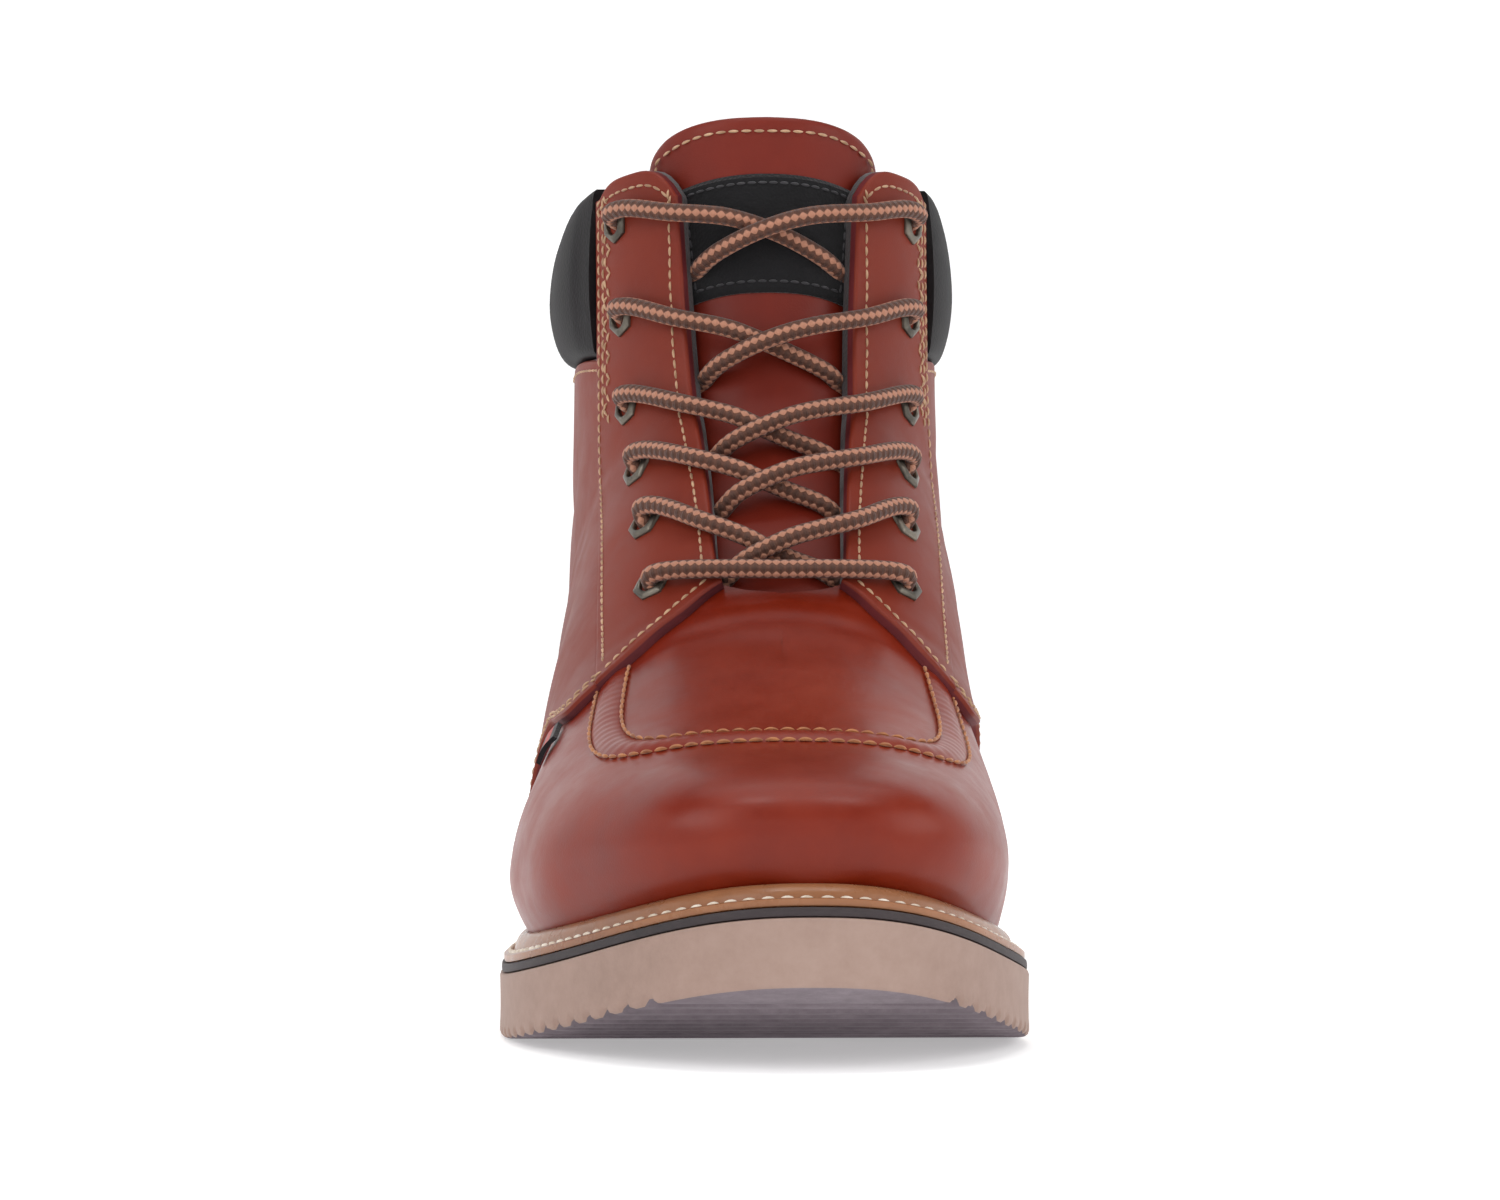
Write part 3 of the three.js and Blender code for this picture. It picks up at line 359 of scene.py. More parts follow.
@dataclass(frozen=True)
class OiledLeather:
    """Full-grain cowhide, drum-dyed, then oiled and rolled: darker and lighter pull-up in random
    streaks and clouds, a fine pebble of pores 0.7 mm apart and soft draw lines, and a thin waxy gloss over it."""

    name: str
    dark: str
    main: str
    light: str
    roughness: float = 0.42
    coat: float = 0.22
    pore: float = 0.75
    relief: float = 0.06

    def material(self) -> bpy.types.Material:
        """Builds the leather."""
        material, tree, shader = blank_material(self.name, Coat_Weight=self.coat, Coat_Roughness=0.26,
                                                Specular_IOR_Level=0.2)
        cloudy = noise(tree, 34, 4, 0.55)
        streaky = noise(tree, 6, 5, 0.6)
        blend = maths(tree, "MULTIPLY_ADD", streaky, 0.35)
        tree.links.new(maths(tree, "MULTIPLY", cloudy, 0.68), blend.node.inputs[2])
        tree.links.new(ramp(tree, blend, [(0.3, self.dark), (0.52, self.main), (0.78, self.light)]),
                       shader.inputs["Base Color"])
        gloss = add_node(tree, "ShaderNodeMapRange", {"Value": streaky, "From Min": 0.3, "From Max": 0.7,
                                                      "To Min": self.roughness - 0.07,
                                                      "To Max": self.roughness + 0.08})
        tree.links.new(gloss.outputs["Result"], shader.inputs["Roughness"])
        pores = add_node(tree, "ShaderNodeTexVoronoi", {"Vector": place(tree), "Scale": 1000 / self.pore},
                         feature="DISTANCE_TO_EDGE")
        pebble = maths(tree, "MINIMUM", pores.outputs["Distance"], 0.28)
        draw = noise(tree, 2.4, 4, 0.65)
        height = maths(tree, "MULTIPLY_ADD", draw, 0.6)
        tree.links.new(pebble, height.node.inputs[2])
        bump = add_node(tree, "ShaderNodeBump", {"Height": height, "Strength": 0.55,
                                                "Distance": self.relief / 1000})
        tree.links.new(bump.outputs["Normal"], shader.inputs["Normal"])
        return material


@dataclass(frozen=True)
class SoftCover:
    """Cloth or coated cover: a fine weave or pebble with a soft sheen."""

    name: str
    dark: str
    main: str
    roughness: float = 0.7
    cell: float = 0.6
    relief: float = 0.12
    sheen: float = 0.25

    def material(self) -> bpy.types.Material:
        """Builds the cover."""
        material, tree, shader = blank_material(self.name, Roughness=self.roughness, Sheen_Weight=self.sheen,
                                                Sheen_Roughness=0.5, Specular_IOR_Level=0.2)
        tree.links.new(ramp(tree, noise(tree, 9, 5, 0.6), [(0.3, self.dark), (0.72, self.main)]),
                       shader.inputs["Base Color"])
        cells = add_node(tree, "ShaderNodeTexVoronoi", {"Vector": place(tree), "Scale": 1000 / self.cell})
        bump = add_node(tree, "ShaderNodeBump", {"Height": cells.outputs["Distance"], "Strength": 0.6,
                                                "Distance": self.relief / 1000})
        tree.links.new(bump.outputs["Normal"], shader.inputs["Normal"])
        return material


@dataclass(frozen=True)
class FoamRubber:
    """Moulded polyurethane: matt, with specks, small pits and a darker and lighter mottle."""

    name: str
    dark: str
    main: str
    light: str
    roughness: float = 0.62
    pit: float = 1.1
    relief: float = 0.12

    def material(self) -> bpy.types.Material:
        """Builds the foam."""
        material, tree, shader = blank_material(self.name)
        blend = maths(tree, "MULTIPLY_ADD", noise(tree, 2.2, 5, 0.7), 0.4)
        tree.links.new(maths(tree, "MULTIPLY", noise(tree, 40, 3), 0.6), blend.node.inputs[2])
        tree.links.new(ramp(tree, blend, [(0.32, self.dark), (0.5, self.main), (0.7, self.light)]),
                       shader.inputs["Base Color"])
        shader.inputs["Roughness"].default_value = self.roughness
        grain = maths(tree, "MULTIPLY_ADD", noise(tree, self.pit, 4, 0.7), 1.0)
        tree.links.new(noise(tree, 9, 2), grain.node.inputs[2])
        bump = add_node(tree, "ShaderNodeBump", {"Height": grain, "Strength": 0.5, "Distance": self.relief / 1000})
        tree.links.new(bump.outputs["Normal"], shader.inputs["Normal"])
        return material


@dataclass(frozen=True)
class SewingThread:
    """Waxed polyester thread: a plain colour with a slight twist to its gloss."""

    name: str
    main: str
    dark: str

    def material(self) -> bpy.types.Material:
        """Builds the thread."""
        material, tree, shader = blank_material(self.name, Roughness=0.6, Sheen_Weight=0.2)
        tree.links.new(ramp(tree, noise(tree, 1.2, 2), [(0.3, self.dark), (0.65, self.main)]),
                       shader.inputs["Base Color"])
        return material


@dataclass(frozen=True)
class DarkMetal:
    """Stamped brass with a gunmetal finish, lighter in random patches."""

    name: str
    dark: str
    light: str

    def material(self) -> bpy.types.Material:
        """Builds the metal."""
        material, tree, shader = blank_material(self.name, Metallic=0.9)
        tree.links.new(ramp(tree, noise(tree, 3, 4), [(0.35, self.dark), (0.7, self.light)]),
                       shader.inputs["Base Color"])
        rough = add_node(tree, "ShaderNodeMapRange", {"Value": noise(tree, 2, 4), "To Min": 0.26, "To Max": 0.5})
        tree.links.new(rough.outputs["Result"], shader.inputs["Roughness"])
        return material


@dataclass(frozen=True)
class BraidedLace:
    """Round braid of brown yarn with pale yarn that shows as diamonds: the sum of a cosine along
    the lace and one round it is high in each diamond and low in the brown between them."""

    name: str
    brown: str
    dark: str
    pale: str
    diamond: float = 1.9
    columns: int = 4

    def material(self) -> bpy.types.Material:
        """Builds the lace; its UV map holds millimetres along it and turns round it."""
        material, tree, shader = blank_material(self.name, Roughness=0.8, Sheen_Weight=0.1, Sheen_Roughness=0.5)
        uv = add_node(tree, "ShaderNodeUVMap", uv_map="along").outputs["UV"]
        split = add_node(tree, "ShaderNodeSeparateXYZ", {"Vector": uv})
        lengthwise = maths(tree, "COSINE", maths(tree, "MULTIPLY", split.outputs["X"], 2 * math.pi / self.diamond))
        around = maths(tree, "COSINE", maths(tree, "MULTIPLY", split.outputs["Y"], 2 * math.pi * self.columns))
        weave = maths(tree, "MULTIPLY_ADD", lengthwise, 0.55)
        tree.links.new(around, weave.node.inputs[2])
        yarn = maths(tree, "COSINE", maths(tree, "MULTIPLY", split.outputs["X"], 2 * math.pi / 0.55))
        level = maths(tree, "MULTIPLY_ADD", weave, 0.25)
        level.node.inputs[2].default_value = 0.5
        tree.links.new(ramp(tree, level, [(0.1, self.dark), (0.57, self.brown), (0.63, self.pale), (0.9, self.pale)]),
                       shader.inputs["Base Color"])
        height = maths(tree, "MULTIPLY_ADD", yarn, 0.12)
        tree.links.new(maths(tree, "ABSOLUTE", weave), height.node.inputs[2])
        bump = add_node(tree, "ShaderNodeBump", {"Height": height, "Strength": 0.8, "Distance": 0.0003})
        tree.links.new(bump.outputs["Normal"], shader.inputs["Normal"])
        return material


FINISHES: dict[str, bpy.types.Material] = {}


def finish(name: str) -> bpy.types.Material:
    """A finish by its name, made on first use."""
    if name not in FINISHES:
        FINISHES[name] = CATALOGUE[name].material()
    return FINISHES[name]


CATALOGUE: dict[str, object] = {
    "vamp": OiledLeather("vamp_oiled_leather", "#661808", "#762009", "#822B11", 0.36, 0.16),
    "quarter": OiledLeather("quarter_oiled_leather", "#6A2012", "#722615", "#7A2C1A", 0.5, 0.05, relief=0.07),
    "tongue": OiledLeather("tongue_oiled_leather", "#5F190D", "#6C1E10", "#752617", 0.48, 0.06, relief=0.08),
    "edge": OiledLeather("cut_leather_edge", "#3A1216", "#5E1F22", "#74302C", 0.6, 0.0),
    "welt": OiledLeather("polished_welt_leather", "#6F452D", "#906040", "#A17050", 0.28, 0.25, 1.2, 0.04),
    "lining": SoftCover("woven_lining", "#2A2526", "#3A3334", 0.85, 0.8),
    "collar": SoftCover("black_collar_cover", "#080507", "#110B0E", 0.6, 0.9, 0.1, 0.0),
    "patch": SoftCover("black_woven_patch", "#09090B", "#100F12", 0.8, 0.7, 0.2),
    "tag": SoftCover("black_woven_tag", "#131014", "#201B1E", 0.8, 0.5),
    "tag_red": SoftCover("red_woven_band", "#8C2A24", "#B0382E", 0.8, 0.5),
    "insole": SoftCover("insole_cover", "#3B342F", "#574C43", 0.9, 0.9),
    "outsole": FoamRubber("cream_polyurethane", "#8A7165", "#977D71", "#A2897D"),
    # The tread's darker grey is partly wear and dirt and partly painted shade on the underside.
    "tread": FoamRubber("worn_tread_with_painted_shade", "#5A5056", "#70656B", "#897E84", 0.85, 0.9, 0.2),
    "midsole": FoamRubber("dark_midsole_rubber", "#1E1618", "#2A2022", "#352A2C", 0.6),
    "cream_thread": SewingThread("cream_thread", "#BD9876", "#926D4D"),
    "tan_thread": SewingThread("tan_thread", "#B0713F", "#844A26"),
    "white_thread": SewingThread("white_welt_thread", "#E9DFD0", "#C2B29C"),
    "black_thread": SewingThread("black_thread", "#2A282C", "#17161A"),
    "eyelet": DarkMetal("gunmetal_brass", "#4B4741", "#7D766B"),
    "lace": BraidedLace("braided_lace", "#5C3625", "#42261A", "#A8745C"),
}


# ---------------------------------------------------------------- the form of sole and last


def rows_of(names: str, *rows: tuple[float, ...]) -> dict[str, Array]:
    """A table with named columns, a row for each section."""
    return {name: np.array([row[k] for row in rows]) for k, name in enumerate(names.split())}


@dataclass(frozen=True)
class SoleForm:
    """Plan and profile of the sole. The plan is a table of centres and half widths whose two
    ends are rounded as superellipses; the profile is a wedge that smooths out before the ball,
    with a toe spring that grows as a power of the distance past the start of the spring."""

    length: float = 304.0
    ball: float = 113.0
    forefoot: float = 21.3
    heel_seat: float = 39.0
    spring: float = 17.5
    bevel: float = 2.0
    heel_share: float = 0.13
    heel_power: float = 2.2
    toe_share: float = 0.28
    toe_power: float = 2.4
    plan: dict[str, Array] = field(default_factory=lambda: rows_of(
        "along centre half",
        (0.0, 0.0, 0.362), (0.13, -0.004, 0.366), (0.25, -0.016, 0.354), (0.36, -0.03, 0.35),
        (0.48, -0.035, 0.392), (0.58, -0.031, 0.452), (0.66, -0.02, 0.49), (0.72, -0.008, 0.5),
        (0.8, 0.01, 0.488), (0.9, 0.035, 0.442), (1.0, 0.06, 0.405)))

    def outline(self, forward: Array, heel: float, toe: float, side: float) -> tuple[Array, Array]:
        """Centre and half width at distances forward of the heel, drawn in by three insets."""
        share = np.clip((forward - heel) / (self.length - heel - toe), 0, 1)
        into_heel = np.clip((self.heel_share - share) / self.heel_share, 0, 1)
        into_toe = np.clip((share - 1 + self.toe_share) / self.toe_share, 0, 1)
        rounding = ((1 - into_heel**self.heel_power) ** (1 / self.heel_power)
                    * (1 - into_toe**self.toe_power) ** (1 / self.toe_power))
        at = forward / self.length
        centre = hermite(self.plan["along"], self.plan["centre"], at) * self.ball
        half = hermite(self.plan["along"], self.plan["half"], at) * self.ball - side
        return centre, half * rounding

    @property
    def middle(self) -> float:
        """Centre of the sole's box across the foot."""
        centre, half = self.outline(np.linspace(0, self.length, 201), 0, 0, 0)
        return float(((centre - half).min() + (centre + half).max()) / 2)

    def rise(self, at: Array) -> Array:
        """Toe spring at shares of the length."""
        return self.spring * np.clip((at - 0.7) / 0.3, 0, 1) ** 1.8

    def ground(self, at: Array) -> Array:
        """Height of the underside: toe spring plus a short bevel at the heel."""
        heel = np.clip(1 - at / (0.5 * self.heel_share), 0, 1) ** 2
        return self.rise(at) + self.bevel * heel

    def seat(self, at: Array) -> Array:
        """Height of the seat that the upper stands on: stack, wedge and toe spring."""
        wedge = 1 - smoothstep(0.14, 0.66, at)
        return self.forefoot + self.rise(at) + (self.heel_seat - self.forefoot) * wedge

    def place(self, across: Array, forward: Array, height: Array) -> Array:
        """Points in the boot's frame."""
        across, forward, height = np.broadcast_arrays(across, forward, height)
        return np.stack([across - self.middle, self.length / 2 - forward, height], -1)


SOLE = SoleForm()


@dataclass(frozen=True)
class Crease:
    """A soft trough where the leather bends: its depth falls off as a Gaussian across its line,
    which drifts along the boot with the girth, and fades out at both ends."""

    row: float
    drift: float
    width: float
    depth: float
    low: float
    high: float
    side: int = 0


@dataclass(frozen=True)
class LastForm:
    """Outside of the upper as fanned sections, row 0 at the toe tip to row 22 above the collar.

    Below its widest point a section goes out as a sine; above it is a superellipse quarter whose
    power is its crown. Girth 0 is its lower or rear end, 1 its widest point and 2 its ridge."""

    height: float = 201.0
    lift: float = 0.3
    toe_row: float = 1.8
    throat_row: float = 9.0
    heel_row: float = 14.0
    collar_row: float = 20.0
    top_row: float = 22.0
    seam_drop: float = 0.03
    sections: dict[str, Array] = field(default_factory=lambda: rows_of(
        "foot back ridge rise lateral medial level crown wrap lean",
        (0.9697, 0.0, 0.9697, 0.0, 0.0, 0.0, 0.5, 2.0, 0.0, 0.055),
        (0.957, 0.0, 0.9757, 0.059, 0.15, 0.155, 0.42, 2.2, 0.0, 0.054),
        (0.9375, 0.0, 0.9737, 0.112, 0.235, 0.24, 0.38, 2.3, 0.0, 0.052),
        (0.908, 0.0, 0.9556, 0.1645, 0.305, 0.312, 0.34, 2.4, 0.0, 0.048),
        (0.868, 0.0, 0.9145, 0.2085, 0.37, 0.372, 0.31, 2.4, 0.0, 0.041),
        (0.816, 0.0, 0.8553, 0.2505, 0.44, 0.42, 0.28, 2.35, 0.0, 0.036),
        (0.757, 0.0, 0.7895, 0.298, 0.475, 0.446, 0.26, 2.3, 0.0, 0.033),
        (0.684, 0.0, 0.7105, 0.3575, 0.49, 0.462, 0.25, 2.2, 0.0, 0.036),
        (0.599, 0.0, 0.6414, 0.408, 0.466, 0.455, 0.28, 2.25, 0.0, 0.04),
        (0.493, 0.0, 0.594, 0.44, 0.436, 0.433, 0.34, 2.25, 0.0, 0.046),
        (0.368, 0.0, 0.562, 0.462, 0.424, 0.421, 0.39, 2.3, 0.0, 0.045),
        (0.23, 0.0, 0.523, 0.505, 0.414, 0.411, 0.44, 2.3, 0.2, 0.044),
        (0.115, 0.0, 0.49, 0.564, 0.406, 0.403, 0.47, 2.3, 0.5, 0.043),
        (0.05, 0.0, 0.4671, 0.617, 0.4, 0.397, 0.48, 2.3, 0.8, 0.042),
        (0.0214, 0.0, 0.4556, 0.652, 0.395, 0.392, 0.48, 2.3, 1.0, 0.041),
        (0.0158, 0.155, 0.4391, 0.72, 0.388, 0.386, 0.48, 2.3, 1.0, 0.038),
        (0.0151, 0.3, 0.4293, 0.787, 0.382, 0.38, 0.49, 2.3, 1.0, 0.036),
        (0.0247, 0.45, 0.4243, 0.845, 0.378, 0.376, 0.5, 2.3, 1.0, 0.035),
        (0.0345, 0.6, 0.4224, 0.9, 0.376, 0.374, 0.5, 2.3, 1.0, 0.034),
        (0.0378, 0.745, 0.4211, 0.951, 0.376, 0.374, 0.5, 2.3, 1.0, 0.033),
        (0.0378, 0.88, 0.4211, 1.0, 0.38, 0.378, 0.5, 2.3, 1.0, 0.032),
        (0.0378, 0.97, 0.4224, 1.04, 0.382, 0.38, 0.5, 2.3, 1.0, 0.031),
        (0.0378, 1.05, 0.426, 1.08, 0.384, 0.382, 0.5, 2.3, 1.0, 0.03)
    ))
    throat: dict[str, Array] = field(default_factory=lambda: rows_of(
        "row half", (9.0, 0.0), (9.12, 0.075), (9.4, 0.122), (11.0, 0.135), (14.0, 0.157), (18.0, 0.176),
        (20.0, 0.184), (22.0, 0.19)))
    front: dict[str, Array] = field(default_factory=lambda: rows_of(
        "girth row", (0.0, 9.3), (0.5, 9.0), (0.9, 8.9), (1.1, 8.95), (1.22, 8.8), (1.32, 8.2), (1.41, 7.85),
        (1.5, 7.87), (1.6, 8.15), (1.75, 8.75), (1.85, 9.2), (2.0, 9.6)))
    creases: tuple[Crease, ...] = (
        Crease(8.35, -0.35, 0.2, 0.32, 1.35, 2.1), Crease(8.85, -0.5, 0.17, 0.3, 1.4, 2.1),
        Crease(7.75, 0.45, 0.24, 0.2, 1.5, 2.1, -1), Crease(10.6, -1.2, 0.28, 0.9, 0.35, 1.25),
        Crease(11.7, -0.9, 0.3, 0.9, 0.3, 1.3), Crease(13.0, -0.5, 0.32, 0.7, 0.4, 1.35),
        Crease(15.2, 0.3, 0.4, 0.7, 0.25, 1.3), Crease(16.4, 0.2, 0.35, 0.5, 0.3, 1.2, 1))

    def column(self, name: str, row: Array) -> Array:
        """One column of the table, read between its rows."""
        return hermite(np.arange(23), self.sections[name], row, name in ("foot", "back", "wrap"))

    def point(self, side: Array | int, row: Array, girth: Array) -> Array:
        """Points of the outside, without creases."""
        side, row, girth = np.broadcast_arrays(np.asarray(side, float), np.asarray(row, float),
                                               np.asarray(girth, float))
        read = {name: self.column(name, row) for name in self.sections}
        tall = self.height - SOLE.heel_seat
        foot, ridge = read["foot"] * SOLE.length, read["ridge"] * SOLE.length
        seat = SOLE.seat(read["foot"]) + self.lift
        foot_centre, foot_half = SOLE.outline(foot, 6.5, 9.2, 6.8)
        foot_half = np.where((row > 0) & (row < self.heel_row), foot_half, 0)
        ridge_centre = np.where(row > 0, read["lean"] * SOLE.ball, foot_centre)
        widest = np.where(side < 0, read["lateral"], read["medial"]) * SOLE.ball
        level, crown, wrap = read["level"], read["crown"], read["wrap"]
        turn = np.pi / 2 * np.minimum(girth, 1)
        low_share = level * mix(np.minimum(girth, 1), 1 - np.cos(turn), wrap)
        low_half = foot_half + (widest - foot_half) * np.sin(turn) ** mix(1, 2 / crown, wrap)
        turn = np.pi / 2 * np.clip(girth - 1, 0, 1)
        high_share = level + (1 - level) * np.sin(turn) ** (2 / crown)
        high_half = widest * np.maximum(np.cos(turn), 0) ** (2 / crown)
        share = np.where(girth <= 1, low_share, high_share)
        half = np.where(girth <= 1, low_half, high_half)
        centre = mix(foot_centre, ridge_centre, share)
        return SOLE.place(centre + side * half, mix(foot, ridge, share),
                          mix(seat + read["back"] * tall, seat + read["rise"] * tall, share))

    def side_normal(self, side: Array, row: Array, girth: Array) -> Array:
        """Outward direction of one side: the cross product of a step along the boot and one
        up the section."""
        forward = (self.point(side, np.minimum(row + 0.04, self.top_row), girth)
                   - self.point(side, np.maximum(row - 0.04, 0), girth))
        upward = (self.point(side, row, np.minimum(girth + 0.02, 2))
                  - self.point(side, row, np.maximum(girth - 0.02, 0)))
        normal = np.cross(forward, upward) * side[..., None]
        low = (girth < 1) * (1 - smoothstep(11.5, 16.5, row))
        flat = np.maximum(normal[..., 2], 0) * np.clip(girth / 0.3, 0, 1)
        normal[..., 2] = mix(normal[..., 2], flat, low)
        return unit(normal)

    def normal(self, side: Array | int, row: Array, girth: Array) -> Array:
        """Outward direction; both sides share it on the ridge and back seam, and at the toe tip
        it turns forward."""
        side, row, girth = np.broadcast_arrays(np.asarray(side, float), np.asarray(row, float),
                                               np.asarray(girth, float))
        own = self.side_normal(side, row, girth)
        shared = (girth > 2 - 1e-6) | ((girth < 1e-6) & (row >= self.heel_row))
        other = self.side_normal(-side, row, girth)
        own = np.where(shared[..., None], unit(own + other), own)
        toward = np.clip(1 - row / self.toe_row, 0, 1)[..., None]
        return unit(mix(own, np.array([0.0, -1.0, 0.0]), toward))

    def creased(self, side: Array | int, row: Array, girth: Array) -> Array:
        """How far the creases lower the surface, in millimetres."""
        side, row, girth = np.broadcast_arrays(np.asarray(side, float), np.asarray(row, float),
                                               np.asarray(girth, float))
        total = np.zeros(row.shape)
        for crease in self.creases:
            line = crease.row + crease.drift * (2 - girth)
            fade = smoothstep(crease.low, crease.low + 0.25, girth) * (1 - smoothstep(crease.high - 0.25,
                                                                                     crease.high, girth))
            if crease.high > 2:
                fade = smoothstep(crease.low, crease.low + 0.25, girth)
            sided = 1.0 if crease.side == 0 else (side == crease.side)
            total = total + sided * fade * crease.depth * np.exp(-((row - line) / crease.width) ** 2)
        return total

    def lifted(self, side: Array | int, row: Array, girth: Array, offset: Array | float) -> Array:
        """Points at an offset from the creased outside."""
        height = offset - self.creased(side, row, girth)
        return self.point(side, row, girth) + self.normal(side, row, girth) * np.asarray(height)[..., None]

    def girth_at(self, side: Array | int, row: Array, half: Array) -> Array:
        """Girth at a distance from the ridge line."""
        widest = np.where(np.asarray(side) < 0, self.column("lateral", row), self.column("medial", row)) * SOLE.ball
        share = np.clip(half / np.maximum(widest, 1e-6), 0, 1)
        return 1 + np.arccos(share ** (self.column("crown", row) / 2)) / (np.pi / 2)

    def throat_half(self, row: Array) -> Array:
        """Half width of the throat."""
        return hermite(self.throat["row"], self.throat["half"], row, True) * SOLE.ball

    def throat_girth(self, side: Array | int, row: Array) -> Array:
        """Girth of the throat's edge, the ridge below the throat."""
        return np.where(row <= self.throat_row, 2.0, self.girth_at(side, row, self.throat_half(row)))

    def seam_girth(self, side: Array | int, row: Array) -> Array:
        """Girth of the seam between quarter and eyestay."""
        widest = np.where(np.asarray(side) < 0, self.column("lateral", row), self.column("medial", row)) * SOLE.ball
        return self.girth_at(side, row, np.minimum(0.328 * SOLE.ball, 0.93 * widest))

    def collar_line(self, girth: Array) -> Array:
        """Lower line of the padded collar, as rows."""
        return mix(18.75, 16.4, np.clip(girth / 1.35, 0, 1) ** 2.4)

    def eyestay_top(self, side: Array | int, girth: Array) -> Array:
        """Rounded top line of the eyestay, as rows."""
        outer, inner = self.seam_girth(side, self.collar_row), self.throat_girth(side, self.collar_row)
        share = np.clip((girth - outer) / (inner - outer), 0, 1)
        return (self.collar_row - 0.9 * np.clip((share - 0.5) / 0.5, 0, 1) ** 3
                - 0.3 * np.clip((0.4 - share) / 0.4, 0, 1) ** 3)

    def front_edge(self, girth: Array) -> Array:
        """Front edge of quarter and eyestay on the vamp, as rows."""
        return hermite(self.front["girth"], self.front["row"], girth, True)

    def rows_for(self, length: float, side: Array | int, row: Array, girth: Array) -> Array:
        """What a length is in rows."""
        gap = np.linalg.norm(self.point(side, row + 0.05, girth) - self.point(side, row - 0.05, girth), axis=-1)
        return length * 0.1 / gap

    def girth_for(self, length: float, side: Array | int, row: Array, girth: Array) -> Array:
        """What a length is in girth."""
        gap = np.linalg.norm(self.point(side, row, girth + 0.02) - self.point(side, row, girth - 0.02), axis=-1)
        return length * 0.04 / gap


LAST = LastForm()


def outward(points: Array, faces: Array) -> Array:
    """Quads turned so that the signed volume under them is positive."""
    a, b, c, d = (points[faces[:, k]] for k in range(4))
    volume = np.einsum("ij,ij->i", a, np.cross(b, c)).sum() + np.einsum("ij,ij->i", a, np.cross(c, d)).sum()
    return faces if volume > 0 else faces[:, ::-1]


def closed_grid(points: Array, joined_ends: bool = False) -> tuple[Array, Array]:
    """Points and quads of a grid whose columns close, its ends capped or joined to each other."""
    rows, columns = points.shape[:2]
    flat = points.reshape(-1, 3)
    if joined_ends:
        flat_rows = np.concatenate([points, points[:1]])
        faces = grid_faces(rows + 1, columns, closed=True) % (rows * columns)
        return flat_rows[:rows].reshape(-1, 3), faces
    faces = grid_faces(rows, columns, closed=True)
    j = np.arange(columns)
    k = (j + 1) % columns
    hubs = len(flat) + np.arange(2)
    last = (rows - 1) * columns
    first_cap = np.stack([np.full(columns, hubs[0]), j, j, k][:1] + [k, j, j], 1)
    last_cap = np.stack([np.full(columns, hubs[1]), last + j, last + k, last + k], 1)
    flat = np.concatenate([flat, points[0].mean(0)[None], points[-1].mean(0)[None]])
    return flat, np.concatenate([faces, first_cap, last_cap])


@dataclass(frozen=True)
class Insets:
    """How far an outline is drawn in at the heel, at the toe and at the sides."""

    heel: float
    toe: float
    side: float

    @classmethod
    def even(cls, inset: float) -> "Insets":
        """The same inset all round."""
        return cls(inset, inset, inset)

    def toward(self, other: "Insets", share: float) -> "Insets":
        """A blend of two sets of insets."""
        return Insets(mix(self.heel, other.heel, share), mix(self.toe, other.toe, share),
                      mix(self.side, other.side, share))

    def edge(self, share: Array, side: int, height: "object", lift: float = 0.0) -> Array:
        """Points of one edge at shares of its length, at the height that a function gives."""
        forward = mix(self.heel, SOLE.length - self.toe, share)
        centre, half = SOLE.outline(forward, self.heel, self.toe, self.side)
        return SOLE.place(centre + side * half, forward, height(forward / SOLE.length) + lift)


FEATHER = Insets(6.5, 9.2, 6.8)


